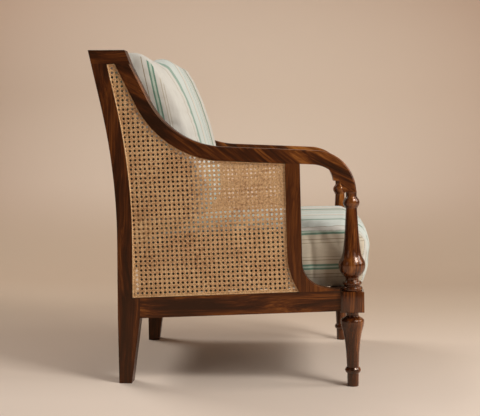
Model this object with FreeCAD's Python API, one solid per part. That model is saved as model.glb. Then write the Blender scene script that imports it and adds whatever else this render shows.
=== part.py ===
import FreeCAD, Part
import math
import os

V = FreeCAD.Vector

# Overall sizes, in millimetres. The chair faces +X and the sitter's left is +Y.
overall_height = 920.0
rear_leg_spacing = 625.0
front_leg_spacing = 665.0
frame_thickness = 46.0
joint_clearance = 0.1
soft_clearance = 0.3
cut_overrun = 5.0

# Rear leg, seen from the side
leg_back = 310.0
leg_width = 62.0
post_width = 40.0
post_corner_share = 0.661
post_bend_share = 0.96
post_rake_deg = 12.9
rear_foot_width = 35.0
rear_foot_inset = 3.0

# Swept arm rail, arm and elbow, seen from the side
cap_height = 37.0
cap_front_angle_deg = 22.0
cane_top_width = 24.0
sweep_angle_deg = 27.0
sweep_bend_share = 1.007
arm_thickness = 38.0
arm_height = 650.8
arm_height_place = 151.0
arm_slope_deg = 2.2
elbow_drop = 115.8
elbow_front = 345.8
elbow_lean_deg = 8.5
elbow_end_thickness = 36.4
elbow_outer_share = 1.036
elbow_inner_share = 1.13
scarf_top_place = 148.3
scarf_angle_deg = 39.4
arm_edge_ease = 3.5

# Arm support with its flared foot
support_back = 152.3
support_width = 39.0
support_lean_deg = 1.65
support_thickness = 34.0
heel_place = 192.8
heel_angle_deg = 30.0
heel_bend_share = 0.95
toe_height = 2.2
toe_angle_deg = 6.0
toe_radius = 70.0

# Seat rails
seat_slope_deg = 2.8
rail_top_height = 251.5
rail_height = 56.0
side_rail_thickness = 34.0
cross_rail_thickness = 24.0
front_rail_setback = 6.0
tenon_thickness = 14.0
tenon_height = 34.0
side_tenon_length = 20.0
front_tenon_length = 24.0
rear_tenon_length = 16.0
support_tenon_width = 18.0
support_tenon_height = 8.0

# Turned front post
post_centre_place = 336.7
post_block_size = 64.0
post_block_bottom = 206.0
post_block_height = 57.0
post_lean_deg = 1.0
bulb_radius = 36.4
flare_radius = 30.9
post_tenon_radius = 8.0
post_tenon_length = 22.0
post_tenon_clearance = 0.15
block_edge_ease = 1.2
turning_cut_deg = 75.0

# Cane panels and the reed bead that covers their edges
cane_thickness = 2.8
cane_setback = 5.0
groove_depth = 5.0
bead_width = 5.0
bead_height = 3.6
bead_gap = 0.3
cane_rows = 8
cane_open_share = 0.45

# Back rails
back_rail_thickness = 26.0
back_rail_setback = 6.0
crest_rail_drop = 4.0
crest_rail_height = 70.0
lower_rail_top = 345.0
lower_rail_height = 45.0
back_tenon_thickness = 12.0
back_tenon_length = 14.0
back_tenon_height = 24.0

# Seat deck
slat_count = 7
slat_width = 56.0
slat_thickness = 15.0
slat_end_gap = 0.6
cleat_width = 20.0
cleat_height = 22.0
corner_block_leg = 52.0
corner_block_height = 34.0

# Loose tongues that lock the glued joints of the arm and the cap
tongue_width = 22.0
tongue_thickness = 8.0
tongue_length = 22.0

# Seat cushion
seat_cushion_back_gap = 8.0
seat_cushion_overhang = 18.3
seat_cushion_side_gap = 18.5
seat_cushion_side = 150.0
seat_cushion_crown = 44.0
boxing_bulge = 6.0

# Back cushion
back_cushion_side_gap = 25.5
back_cushion_drop = 2.0
back_cushion_depth = 150.0
back_cushion_crown = 50.0
back_cushion_gap = 0.8

seat_slope = math.tan(math.radians(seat_slope_deg))
joint_height = overall_height - cap_height
post_corner_height = post_corner_share * joint_height
elbow_end_height = arm_height - elbow_drop
crest_rail_top = overall_height - crest_rail_drop
crest_rail_bottom = crest_rail_top - crest_rail_height
lower_rail_bottom = lower_rail_top - lower_rail_height
seat_cushion_back = leg_back - post_width - seat_cushion_back_gap
seat_cushion_front = post_centre_place + post_block_size / 2 + seat_cushion_overhang
back_cushion_top = overall_height - back_cushion_drop
seat_cushion_half_width = front_leg_spacing / 2 - post_block_size / 2 - seat_cushion_side_gap
back_cushion_half_width = rear_leg_spacing / 2 - frame_thickness / 2 - back_cushion_side_gap
half_thickness = frame_thickness / 2
rear_leg_centre = leg_back - rear_foot_width / 2 - rear_foot_inset
toe_out = math.atan((front_leg_spacing - rear_leg_spacing) / 2 / (post_centre_place + rear_leg_centre))
side_offset = rear_leg_spacing / 2 + rear_leg_centre * math.tan(toe_out)
block_half = post_block_size / 2
rail_outer = -half_thickness
rail_inner = rail_outer + side_rail_thickness
rail_middle = (rail_outer + rail_inner) / 2


# Straight lines in the side view are pairs of a point and a direction, with X forward and Z up.
def line(place, height, angle_deg):
    """A line through a point. The angle is measured from +X towards +Z."""
    angle = math.radians(angle_deg)
    return (place, height), (math.cos(angle), math.sin(angle))


def shifted(a_line, distance):
    """The parallel line that lies this far to the right of the line's direction."""
    (place, height), (run, rise) = a_line
    return (place + rise * distance, height - run * distance), (run, rise)


def meet(first, second):
    """The point where two lines cross, as (place, height)."""
    (x1, z1), (u1, w1) = first
    (x2, z2), (u2, w2) = second
    scale = ((x2 - x1) * w2 - (z2 - z1) * u2) / (u1 * w2 - w1 * u2)
    return x1 + u1 * scale, z1 + w1 * scale


def at_height(a_line, height):
    return meet(a_line, line(0, height, 0))


def at_place(a_line, place):
    return meet(a_line, line(place, 0, 90))


def bend_radius(first, corner, last, share):
    """The radius of a round at a corner, which takes a share of the room that its two sides leave."""
    before, after = math.dist(first, corner), math.dist(corner, last)
    room = before * after / (before + after)
    turn = math.atan2(last[1] - corner[1], last[0] - corner[0]) \
        - math.atan2(corner[1] - first[1], corner[0] - first[0])
    return share * room / abs(math.tan(turn / 2))


def rounded_wire(corners, to_point):
    """A closed wire through (point, radius) corners. A radius of zero leaves the corner sharp."""
    count = len(corners)
    ends = []
    for i in range(count):
        point = FreeCAD.Vector(*to_point(*corners[i][0]))
        before = FreeCAD.Vector(*to_point(*corners[i - 1][0])) - point
        after = FreeCAD.Vector(*to_point(*corners[(i + 1) % count][0])) - point
        before.normalize()
        after.normalize()
        radius = corners[i][1]
        if radius == 0:
            ends.append((point, None, point))
            continue
        half_angle = before.getAngle(after) / 2
        tangent = radius / math.tan(half_angle)
        bisector = before + after
        bisector.normalize()
        middle = point + bisector * (radius / math.sin(half_angle) - radius)
        ends.append((point + before * tangent, middle, point + after * tangent))
    edges = []
    for i in range(count):
        start, middle, end = ends[i]
        if middle is not None:
            edges.append(Part.Arc(start, middle, end).toShape())
        edges.append(Part.LineSegment(end, ends[(i + 1) % count][0]).toShape())
    return Part.Wire(edges)


def plate(corners, low, high):
    """A flat piece with this side outline, from one distance across the chair to another."""
    wire = rounded_wire(corners, lambda place, height: (place, low, height))
    return Part.Face(wire).extrude(V(0, high - low, 0))


def box(x_range, y_range, z_range):
    size = [high - low for low, high in (x_range, y_range, z_range)]
    return Part.makeBox(*size, V(x_range[0], y_range[0], z_range[0]))


def cylinder(radius, length, base, direction):
    return Part.makeCylinder(radius, length, base, direction)


def in_place(shape):
    """Moves a piece of the right side frame from its own plane to its place in the chair."""
    shape = shape.copy()
    shape.rotate(V(0, 0, 0), V(0, 0, 1), -math.degrees(toe_out))
    shape.translate(V(0, -side_offset, 0))
    return shape


def mirrored(shape):
    return shape.mirror(V(0, 0, 0), V(0, 1, 0))


def between(inner, low=0.0, high=overall_height):
    """The space between the two side frames, from this distance inside each frame's middle plane."""
    reach = leg_back + post_block_size + seat_cushion_front
    face = plate([((-reach, low), 0), ((reach, low), 0), ((reach, high), 0), ((-reach, high), 0)],
                 inner, side_offset)
    right = in_place(face)
    middle = side_offset / 2
    right_half = right.common(box((-reach, reach), (-side_offset * 2, 0), (low, high)))
    core = box((-reach, reach), (-middle, middle), (low, high))
    return core.fuse([right_half, mirrored(right_half)]).removeSplitter()


def above_deck(drop=0.0):
    """Everything above the sloping plane of the seat deck, lowered by a distance."""
    reach = leg_back + post_block_size + seat_cushion_front
    slab = box((-reach, reach), (-reach, reach), (-drop, overall_height))
    slab.rotate(V(0, 0, 0), V(0, -1, 0), seat_slope_deg)
    slab.translate(V(0, 0, rail_top_height))
    return slab


# Lines that the side frame is drawn on
floor_line = line(0, 0, 0)
cap_joint_line = line(0, joint_height, 0)
top_line = line(0, overall_height, 0)
back_low_line = line(-leg_back, 0, 90)
back_high_line = line(-leg_back, post_corner_height, 90 + post_rake_deg)
post_low_line = shifted(back_low_line, post_width)
post_high_line = shifted(back_high_line, post_width)
leg_front_line = shifted(back_low_line, leg_width)
sweep_low_line = line(meet(post_high_line, cap_joint_line)[0] + cane_top_width, joint_height,
                      sweep_angle_deg - 90)
sweep_line = shifted(sweep_low_line, -arm_thickness)
sweep_front = meet(sweep_line, cap_joint_line)
arm_line = line(arm_height_place, arm_height, -arm_slope_deg)
arm_low_line = shifted(arm_line, arm_thickness)
elbow_line = line(elbow_front, elbow_end_height, elbow_lean_deg - 90)
elbow_low_line = shifted(elbow_line, elbow_end_thickness)
elbow_end_line = line(0, elbow_end_height, 0)
scarf_line = line(*at_place(arm_line, scarf_top_place), -scarf_angle_deg)
rail_line = line(0, rail_top_height, seat_slope_deg)
rail_low_line = line(0, rail_top_height - rail_height, seat_slope_deg)
support_line = line(support_back, arm_height - arm_thickness, support_lean_deg - 90)
support_front_line = shifted(support_line, -support_width)
heel_line = line(*at_place(rail_line, heel_place), heel_angle_deg - 90)
block_middle = post_block_bottom + post_block_height / 2
block_back_line = line(post_centre_place - block_half / math.cos(math.radians(post_lean_deg)), block_middle,
                       90 + post_lean_deg)
toe_line = line(meet(rail_line, block_back_line)[0], meet(rail_line, block_back_line)[1] + toe_height,
                -toe_angle_deg)
rail_joint = meet(rail_line, leg_front_line)
rail_low_joint = meet(rail_low_line, leg_front_line)
sweep_corner, elbow_corner = meet(sweep_line, arm_line), meet(arm_line, elbow_line)
elbow_low_corner, heel_corner = meet(arm_low_line, elbow_low_line), meet(support_line, heel_line)
post_bend_radius = bend_radius((-leg_back, 0), (-leg_back, post_corner_height),
                               meet(back_high_line, cap_joint_line), post_bend_share)
sweep_radius = bend_radius(meet(arm_line, scarf_line), sweep_corner, sweep_front, sweep_bend_share)
elbow_outer_radius = bend_radius(sweep_corner, elbow_corner, meet(elbow_line, elbow_end_line),
                                 elbow_outer_share)
heel_radius = bend_radius(meet(support_line, arm_low_line), heel_corner, meet(heel_line, rail_line),
                          heel_bend_share)
elbow_inner_radius = bend_radius(meet(sweep_low_line, arm_low_line), elbow_low_corner,
                                 meet(elbow_low_line, elbow_end_line), elbow_inner_share)


def cane_outline(growth):
    """The opening that the side cane fills, grown outwards by a distance."""
    lines = [shifted(rail_line, growth), shifted(heel_line, -growth), shifted(support_line, -growth),
             shifted(arm_low_line, -growth), shifted(sweep_low_line, -growth),
             shifted(cap_joint_line, -growth), shifted(post_high_line, -growth),
             shifted(post_low_line, -growth)]
    radii = [0, heel_radius, 0, sweep_radius + arm_thickness, 0, 0, post_bend_radius + post_width, 0]
    corners = []
    for i, radius in enumerate(radii):
        point = meet(lines[i], lines[(i + 1) % len(lines)])
        corners.append((point, radius - growth if radius else 0))
    return corners


cane_outer = rail_outer + cane_setback
cane_inner = cane_outer + cane_thickness
groove_half = joint_clearance / 2


def cane_groove():
    growth = groove_depth + joint_clearance
    return plate(cane_outline(growth), cane_outer - groove_half, cane_inner + groove_half)


cane_pitch = (joint_height - rail_top_height) / cane_rows
cane_step = cane_pitch * cane_open_share / 2


def side_cane_openings():
    """A plain grid of square openings for the open weave, parallel to the seat rail."""
    inside = plate(cane_outline(-bead_gap - bead_width), cane_outer, cane_inner)
    middle = (cane_outer + cane_inner) / 2
    start = meet(rail_line, post_low_line)
    slope = math.radians(seat_slope_deg)
    found = []
    for row in range(cane_rows):
        row_line = shifted(rail_line, -(row + 0.5) * cane_pitch)
        for column in range(-cane_rows, cane_rows):
            along = (column + 0.5) * cane_pitch
            column_line = line(start[0] + along * math.cos(slope), start[1] + along * math.sin(slope),
                               seat_slope_deg + 90)
            sides = [shifted(row_line, cane_step), shifted(column_line, cane_step),
                     shifted(row_line, -cane_step), shifted(column_line, -cane_step)]
            points = [meet(sides[i], sides[i - 1]) for i in range(4)]
            if all(inside.isInside(V(place, middle, height), bead_gap, True) for place, height in points):
                found.append(plate([(point, 0) for point in points], cane_outer - cut_overrun,
                                   cane_inner + cut_overrun))
    return found


def side_cane_panel():
    return plate(cane_outline(groove_depth), cane_outer, cane_inner).cut(side_cane_openings())


def side_cane_bead():
    outer = plate(cane_outline(-bead_gap), cane_outer - bead_height, cane_outer)
    inner = plate(cane_outline(-bead_gap - bead_width), cane_outer - bead_height - cut_overrun,
                  cane_outer + cut_overrun)
    return outer.cut(inner)


def side_tenon(at_line, inwards, length):
    """A flat tenon on the side rail's centre, reaching past a shoulder line, drawn as an outline."""
    middle = (rail_top_height + rail_top_height - rail_height) / 2
    centre_line = line(0, middle, seat_slope_deg)
    top = shifted(centre_line, -tenon_height / 2)
    bottom = shifted(centre_line, tenon_height / 2)
    end_line = shifted(at_line, length * inwards)
    root_line = shifted(at_line, -cut_overrun * inwards)
    return [(meet(bottom, root_line), 0), (meet(bottom, end_line), 0), (meet(top, end_line), 0),
            (meet(top, root_line), 0)]


def grown(corners, growth):
    """A convex four-sided outline, grown by a distance on every side."""
    middle_place = sum(point[0] for point, _ in corners) / len(corners)
    middle_height = sum(point[1] for point, _ in corners) / len(corners)
    result = []
    for (place, height), radius in corners:
        step_place = math.copysign(growth, place - middle_place)
        step_height = math.copysign(growth, height - middle_height)
        result.append(((place + step_place, height + step_height), radius))
    return result


rear_rail_tenon = side_tenon(leg_front_line, -1, side_tenon_length)
front_rail_tenon = side_tenon(block_back_line, 1, side_tenon_length)


def tenon_plate(corners, clearance=0.0):
    half = tenon_thickness / 2 + clearance
    return plate(grown(corners, clearance) if clearance else corners, rail_middle - half, rail_middle + half)


def side_rail():
    corners = [(rail_low_joint, 0), (meet(rail_low_line, block_back_line), 0),
               (meet(rail_line, block_back_line), 0), (rail_joint, 0)]
    rail = plate(corners, rail_outer, rail_inner)
    return rail.fuse([tenon_plate(rear_rail_tenon), tenon_plate(front_rail_tenon)]).removeSplitter()


def rear_leg_blank():
    """One stick: a foot that tapers, a wide part behind the seat rail, and a post that bends back."""
    foot_back = -leg_back + rear_foot_inset
    corners = [((foot_back, 0), 0), ((foot_back + rear_foot_width, 0), 0), (rail_low_joint, 0),
               (rail_joint, 0), (meet(rail_line, post_low_line), 0),
               (meet(post_low_line, post_high_line), post_bend_radius + post_width),
               (meet(post_high_line, cap_joint_line), 0), (meet(back_high_line, cap_joint_line), 0),
               (meet(back_low_line, back_high_line), post_bend_radius),
               (at_height(back_low_line, rail_low_joint[1]), 0)]
    return plate(corners, -half_thickness, half_thickness)


def arm_rear_blank(thickness=arm_thickness):
    """The swept rail and the arm in one piece, down to this distance below its upper side."""
    sweep_low, arm_low = shifted(sweep_line, thickness), shifted(arm_line, thickness)
    corners = [(sweep_front, 0), (sweep_corner, sweep_radius), (meet(arm_line, scarf_line), 0),
               (meet(arm_low, scarf_line), 0), (meet(sweep_low, arm_low), sweep_radius + thickness),
               (meet(sweep_low, cap_joint_line), 0)]
    return plate(corners, -half_thickness, half_thickness)


def arm_front_blank():
    corners = [(meet(arm_line, scarf_line), 0), (elbow_corner, elbow_outer_radius),
               (meet(elbow_line, elbow_end_line), 0), (meet(elbow_low_line, elbow_end_line), 0),
               (elbow_low_corner, elbow_inner_radius), (meet(arm_low_line, scarf_line), 0)]
    return plate(corners, -half_thickness, half_thickness)


def arm_front_skin():
    """The layer under the upper side of the front piece, as thick as the eased edges."""
    arm_low, elbow_low = shifted(arm_line, arm_edge_ease), shifted(elbow_line, arm_edge_ease)
    corners = [(meet(arm_line, scarf_line), 0), (elbow_corner, elbow_outer_radius),
               (meet(elbow_line, elbow_end_line), 0), (meet(elbow_low, elbow_end_line), 0),
               (meet(arm_low, elbow_low), elbow_outer_radius - arm_edge_ease),
               (meet(arm_low, scarf_line), 0)]
    return plate(corners, -half_thickness, half_thickness)


def top_cap_blank():
    front_line = line(*sweep_front, 90 + cap_front_angle_deg)
    corners = [(meet(back_high_line, cap_joint_line), 0), (sweep_front, 0),
               (meet(front_line, top_line), 0), (meet(back_high_line, top_line), 0)]
    return plate(corners, -half_thickness, half_thickness)


def eased(shape, skin):
    """Chamfers the long edges that lie in the piece's outer or inner face and in its upper skin."""
    chosen = []
    for edge in shape.Edges:
        middle = edge.valueAt((edge.FirstParameter + edge.LastParameter) / 2)
        level = all(abs(vertex.Point.y - middle.y) < joint_clearance for vertex in edge.Vertexes)
        if level and edge.Length > arm_edge_ease * 2 and skin.isInside(middle, joint_clearance, True):
            chosen.append(edge)
    return shape.makeChamfer(arm_edge_ease, chosen)


def arm_support_blank():
    low, high = rail_outer, rail_outer + support_thickness
    corners = [(meet(support_line, arm_low_line), 0), (heel_corner, heel_radius),
               (meet(heel_line, rail_line), 0), (meet(rail_line, block_back_line), 0),
               (meet(toe_line, block_back_line), 0), (meet(toe_line, support_front_line), toe_radius),
               (meet(support_front_line, arm_low_line), 0)]
    return plate(corners, low, high)


def support_tenon(clearance=0.0):
    """The tenon on the support's upper end, under the rear arm rail."""
    root = meet(support_line, arm_low_line)
    left = root[0] + support_tenon_width / 3 - clearance
    right = left + support_tenon_width + 2 * clearance
    top = root[1] + support_tenon_height + clearance
    corners = [((left, root[1] - cut_overrun), 0), ((right, root[1] - cut_overrun), 0),
               ((right, top), 0), ((left, top), 0)]
    half = tenon_thickness / 2 + clearance
    return plate(corners, rail_middle - half, rail_middle + half)


def round_run(start, end, bulge):
    """Points from start to end along an arc that bulges away from the axis, in a few straight cuts."""
    if bulge == 0:
        return [end]
    chord = end - start
    outwards = V(abs(chord.z), 0, -chord.x * math.copysign(1, chord.z))
    outwards.normalize()
    arc = Part.Arc(start, (start + end) * 0.5 + outwards * bulge, end)
    cuts = max(2, math.ceil(abs(arc.LastParameter - arc.FirstParameter) / math.radians(turning_cut_deg)))
    return [V(*arc.value(arc.FirstParameter + (arc.LastParameter - arc.FirstParameter) * i / cuts))
            for i in range(1, cuts + 1)]


def turned(rows, start, length, radius, downwards=False):
    """A turning from rows of height, radius and bulge shares. The bulge bends the run to the row."""
    sign = -1 if downwards else 1
    rims = [V(share[1] * radius, 0, start + sign * share[0] * length) for share in rows]
    points = [V(0, 0, rims[0].z), rims[0]]
    for i in range(1, len(rims)):
        points += round_run(rims[i - 1], rims[i], rows[i][2] * radius)
    points.append(V(0, 0, rims[-1].z))
    return Part.Face(Part.makePolygon(points + points[:1])).revolve(V(0, 0, 0), V(0, 0, 1), 360)


# Upper turning, from the block to the arm: two rings, a bulb, a long taper, a bead and a neck
baluster_shares = [
    (0.000, 0.720, 0), (0.047, 0.720, 0), (0.047, 0.550, 0), (0.090, 0.550, 0), (0.090, 0.440, 0),
    (0.130, 0.440, 0), (0.150, 0.510, 0), (0.257, 1.000, 0.105), (0.345, 0.760, 0.075), (0.470, 0.560, 0),
    (0.820, 0.385, 0), (0.850, 0.385, 0), (0.932, 0.385, 0.190), (1.010, 0.385, 0),
]

# Lower turning, from the block down to the floor: neck, flare, taper, ring and foot
leg_turning_shares = [
    (0.000, 0.540, 0), (0.050, 0.540, 0), (0.120, 0.980, 0), (0.180, 0.930, 0), (0.400, 0.670, 0),
    (0.735, 0.500, 0), (0.735, 0.560, 0), (0.805, 0.560, 0.090), (0.805, 0.485, 0), (1.020, 0.485, 0),
]


def leaning(shape):
    """Tilts the front post back about the middle of its block, then puts it under the arm."""
    shape = shape.copy()
    shape.rotate(V(0, 0, block_middle), V(0, 1, 0), -post_lean_deg)
    shape.translate(V(post_centre_place, 0, 0))
    return shape


def post_tenon(clearance=0.0):
    bottom = elbow_end_height - cut_overrun
    tenon = cylinder(post_tenon_radius + clearance, post_tenon_length + cut_overrun + clearance,
                     V(0, 0, bottom), V(0, 0, 1))
    return leaning(tenon)


def front_post_blank():
    block_top = post_block_bottom + post_block_height
    block = box((-block_half, block_half), (-block_half, block_half), (post_block_bottom, block_top))
    block = block.makeChamfer(block_edge_ease, block.Edges)
    upper = turned(baluster_shares, block_top - block_edge_ease,
                   elbow_end_height - block_top + block_edge_ease, bulb_radius)
    lower = turned(leg_turning_shares, post_block_bottom + block_edge_ease,
                   post_block_bottom + block_edge_ease, flare_radius, downwards=True)
    post = leaning(block.fuse([upper, lower]).removeSplitter())
    around = (-post_block_size, post_block_size)
    below_floor = box((0, post_centre_place * 2), around, (-post_block_size, 0))
    in_the_arm = box((0, post_centre_place * 2), around, (elbow_end_height, overall_height))
    return post.cut([below_floor, in_the_arm]).fuse(post_tenon()).removeSplitter()


# Cross pieces run along Y between the side frames
def board(corners, low_gap, tenon_corners=None, tenon_length=0.0):
    """A rail with this side outline that ends on the frames' inner faces, with a tenon at each end."""
    wide = plate(corners, -side_offset, side_offset)
    rail = wide.common(between(low_gap))
    if tenon_corners:
        tenon = plate(tenon_corners, -side_offset, side_offset).common(between(low_gap - tenon_length))
        rail = rail.fuse(tenon).removeSplitter()
    return rail


def upright_tenon(back, front, low, high, growth=0.0):
    return [((back - growth, low - growth), 0), ((front + growth, low - growth), 0),
            ((front + growth, high + growth), 0), ((back - growth, high + growth), 0)]


front_rail_front = post_centre_place + block_half - front_rail_setback
front_rail_back = front_rail_front - cross_rail_thickness
front_rail_low = at_place(rail_low_line, front_rail_back)[1]
front_rail_high = at_place(rail_line, front_rail_back)[1]
rear_rail_front = -leg_back + leg_width
rear_rail_back = rear_rail_front - cross_rail_thickness
rear_rail_low = at_place(rail_low_line, rear_rail_front)[1]
rear_rail_high = at_place(rail_line, rear_rail_back)[1]


def cross_tenon(back, front, low, high, growth=0.0):
    """A tenon outline on the centre of a cross rail."""
    middle_place = (back + front) / 2
    middle_height = (low + high) / 2
    return upright_tenon(middle_place - tenon_thickness / 2, middle_place + tenon_thickness / 2,
                         middle_height - tenon_height / 2, middle_height + tenon_height / 2, growth)


def front_rail():
    corners = upright_tenon(front_rail_back, front_rail_front, front_rail_low, front_rail_high)
    tenon = cross_tenon(front_rail_back, front_rail_front, front_rail_low, front_rail_high)
    return board(corners, block_half, tenon, front_tenon_length)


def rear_rail():
    corners = upright_tenon(rear_rail_back, rear_rail_front, rear_rail_low, rear_rail_high)
    tenon = cross_tenon(rear_rail_back, rear_rail_front, rear_rail_low, rear_rail_high)
    return board(corners, half_thickness, tenon, rear_tenon_length)


crest_back_line = shifted(back_high_line, back_rail_setback)
crest_front_line = shifted(crest_back_line, back_rail_thickness)
lower_back_line = shifted(back_low_line, back_rail_setback)
lower_front_line = shifted(lower_back_line, back_rail_thickness)


def crest_tenon(growth=0.0):
    low = crest_rail_bottom + joint_clearance
    high = low + back_tenon_height
    back = shifted(crest_back_line, (back_rail_thickness - back_tenon_thickness) / 2 - growth)
    front = shifted(back, back_tenon_thickness + 2 * growth)
    return [(at_height(back, low - growth), 0), (at_height(front, low - growth), 0),
            (at_height(front, high + growth), 0), (at_height(back, high + growth), 0)]


def crest_rail():
    corners = [(at_height(crest_back_line, crest_rail_bottom), 0),
               (at_height(crest_front_line, crest_rail_bottom), 0),
               (at_height(crest_front_line, crest_rail_top), back_rail_setback),
               (at_height(crest_back_line, crest_rail_top), back_rail_setback)]
    return board(corners, half_thickness, crest_tenon(), back_tenon_length)


def lower_tenon(growth=0.0):
    middle = (lower_rail_bottom + lower_rail_top) / 2
    back = lower_back_line[0][0] + (back_rail_thickness - back_tenon_thickness) / 2
    return upright_tenon(back, back + back_tenon_thickness, middle - back_tenon_height / 2,
                         middle + back_tenon_height / 2, growth)


def lower_back_rail():
    back = lower_back_line[0][0]
    corners = upright_tenon(back, back + back_rail_thickness, lower_rail_bottom, lower_rail_top)
    return board(corners, half_thickness, lower_tenon(), back_tenon_length)


def back_strip(near, far, low, high, inner):
    """A sheet that follows the bend of the rear posts, between two depths from their backs."""
    near_low, near_high = shifted(back_low_line, near), shifted(back_high_line, near)
    far_low, far_high = shifted(back_low_line, far), shifted(back_high_line, far)
    corners = [(at_height(near_low, 0), 0), (at_height(far_low, 0), 0),
               (meet(far_low, far_high), post_bend_radius + far), (meet(far_high, cap_joint_line), 0),
               (meet(near_high, cap_joint_line), 0), (meet(near_low, near_high), post_bend_radius + near)]
    return plate(corners, -side_offset, side_offset).common(between(inner, low, high))


back_cane_near = back_rail_setback + bead_height + cane_setback
back_cane_far = back_cane_near + cane_thickness


def back_cane_groove():
    growth = groove_depth + joint_clearance
    return back_strip(back_cane_near - groove_half, back_cane_far + groove_half, lower_rail_top - growth,
                      crest_rail_bottom + growth, half_thickness - growth)


def back_cane_panel():
    return back_strip(back_cane_near, back_cane_far, lower_rail_top - groove_depth,
                      crest_rail_bottom + groove_depth, half_thickness - groove_depth)


def back_cane_bead():
    front = back_cane_near - bead_height
    edge = bead_gap + bead_width
    ring = back_strip(front, back_cane_near, lower_rail_top + bead_gap, crest_rail_bottom - bead_gap,
                      half_thickness + bead_gap)
    return ring.cut(back_strip(front - cut_overrun, back_cane_near + cut_overrun, lower_rail_top + edge,
                               crest_rail_bottom - edge, half_thickness + edge))


# Seat deck
def on_deck(shape):
    """Moves a piece drawn on a level deck at the origin to the sloping seat."""
    shape = shape.copy()
    shape.rotate(V(0, 0, 0), V(0, -1, 0), seat_slope_deg)
    shape.translate(V(0, 0, rail_top_height))
    return shape


deck_back = rear_rail_front + slat_end_gap
deck_front = front_rail_back - slat_end_gap
slat_pitch = (deck_front - deck_back - slat_width) / (slat_count - 1)
slat_places = [deck_back + i * slat_pitch for i in range(slat_count)]


def seat_slat(start):
    slat = on_deck(box((start, start + slat_width), (-side_offset, side_offset), (-slat_thickness, 0)))
    slat = slat.common(between(rail_inner + slat_end_gap))
    block = in_place(box((post_centre_place - block_half - slat_end_gap, post_centre_place + block_half),
                         (rail_inner, block_half + slat_end_gap), (0, joint_height)))
    return slat.cut([block, mirrored(block)])


def deck_band(upper, lower):
    """The space between two planes parallel to the deck, this far below it."""
    return above_deck(lower).cut(above_deck(upper))


cleat_back = rear_rail_front + corner_block_leg + slat_end_gap
cleat_front = post_centre_place - block_half - corner_block_leg - slat_end_gap


def seat_cleat():
    bar = box((cleat_back, cleat_front), (rail_inner, rail_inner + cleat_width), (0, joint_height))
    return in_place(bar).common(deck_band(slat_thickness, slat_thickness + cleat_height))


def frame_point(place, across):
    """A point of the right side frame's plan, given by its place along X and distance from its plane."""
    return V(place, -side_offset - place * math.tan(toe_out) + across / math.cos(toe_out), 0)


def corner_block(points):
    wire = Part.makePolygon(points + [points[0]])
    prism = Part.Face(wire).extrude(V(0, 0, joint_height))
    return prism.common(deck_band(slat_thickness, slat_thickness + corner_block_height))


def rear_corner_block():
    corner = frame_point(rear_rail_front, rail_inner)
    return corner_block([corner, frame_point(rear_rail_front + corner_block_leg, rail_inner),
                         corner + V(0, corner_block_leg, 0)]).cut(in_place(rear_leg_blank()))


def front_corner_block():
    block_back = post_centre_place - block_half + block_half * math.tan(math.radians(post_lean_deg))
    block_back += joint_clearance
    return corner_block([frame_point(block_back - corner_block_leg, rail_inner),
                         frame_point(block_back - 2 * joint_clearance - block_edge_ease, rail_inner),
                         frame_point(block_back - 2 * joint_clearance - block_edge_ease, block_half),
                         frame_point(front_rail_back, block_half),
                         frame_point(front_rail_back, block_half) + V(0, corner_block_leg, 0)])


# Loose tongues
def tongue(middle, angle_deg, growth=0.0):
    """A small flat board across a glued joint, centred on a point and lying at an angle."""
    along = line(*middle, angle_deg)
    across = line(*middle, angle_deg + 90)
    length = tongue_length / 2 + growth
    thickness = tongue_thickness / 2 + growth
    low_side, high_side = shifted(along, thickness), shifted(along, -thickness)
    near_end, far_end = shifted(across, -length), shifted(across, length)
    corners = [(meet(low_side, near_end), 0), (meet(low_side, far_end), 0), (meet(high_side, far_end), 0),
               (meet(high_side, near_end), 0)]
    return plate(corners, -tongue_width / 2 - growth, tongue_width / 2 + growth)


def scarf_tongue(growth=0.0):
    top, bottom = meet(arm_line, scarf_line), meet(arm_low_line, scarf_line)
    middle = (top[0] * 0.55 + bottom[0] * 0.45, top[1] * 0.55 + bottom[1] * 0.45)
    return tongue(middle, 90 - scarf_angle_deg, growth)


def cap_tongues(growth=0.0):
    """One tongue from the cap into the rear post and one into the swept rail."""
    post_middle = (meet(back_high_line, cap_joint_line)[0] + meet(post_high_line, cap_joint_line)[0]) / 2
    sweep_middle = (meet(sweep_low_line, cap_joint_line)[0] + sweep_front[0]) / 2
    return [tongue((place, joint_height), 90, growth) for place in (post_middle, sweep_middle)]


# Cushions
def section(points, bulges):
    """A closed section with four corners. Each side is an arc with this bulge, or a line."""
    edges = []
    centre = (points[0] + points[1] + points[2] + points[3]) * 0.25
    for i in range(4):
        start, end = points[i], points[(i + 1) % 4]
        middle = (start + end) * 0.5
        if bulges[i] == 0:
            edges.append(Part.LineSegment(start, end).toShape())
            continue
        outwards = middle - centre
        chord = end - start
        outwards = outwards - chord * (outwards.dot(chord) / chord.dot(chord))
        outwards.normalize()
        edges.append(Part.Arc(start, middle + outwards * bulges[i], end).toShape())
    return Part.Wire(edges)


# Along the seat cushion: place, half width, side height and crown of each section
seat_place_shares = [0, 0.02, 0.08, 0.22, 0.50, 0.76, 0.91, 0.98, 1]
seat_width_shares = [0.920, 0.955, 0.980, 0.976, 0.965, 0.974, 0.992, 0.980, 0.955]
seat_side_shares = [0.62, 0.80, 0.92, 0.98, 1.0, 1.0, 0.98, 0.90, 0.78]
seat_crown_shares = [0.20, 0.50, 0.76, 0.93, 1.0, 1.0, 1.0, 0.85, 0.60]


def seat_top(place):
    """Height of the seat cushion's crown above the deck, at a distance along the deck."""
    share = (place + seat_cushion_back) / (seat_cushion_front + seat_cushion_back)
    after = next(i for i, entry in enumerate(seat_place_shares) if entry >= share)
    run = (share - seat_place_shares[after - 1]) / (seat_place_shares[after] - seat_place_shares[after - 1])
    tops = [seat_cushion_side * side + seat_cushion_crown * crown
            for side, crown in zip(seat_side_shares, seat_crown_shares)]
    return tops[after - 1] + run * (tops[after] - tops[after - 1])


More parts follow.
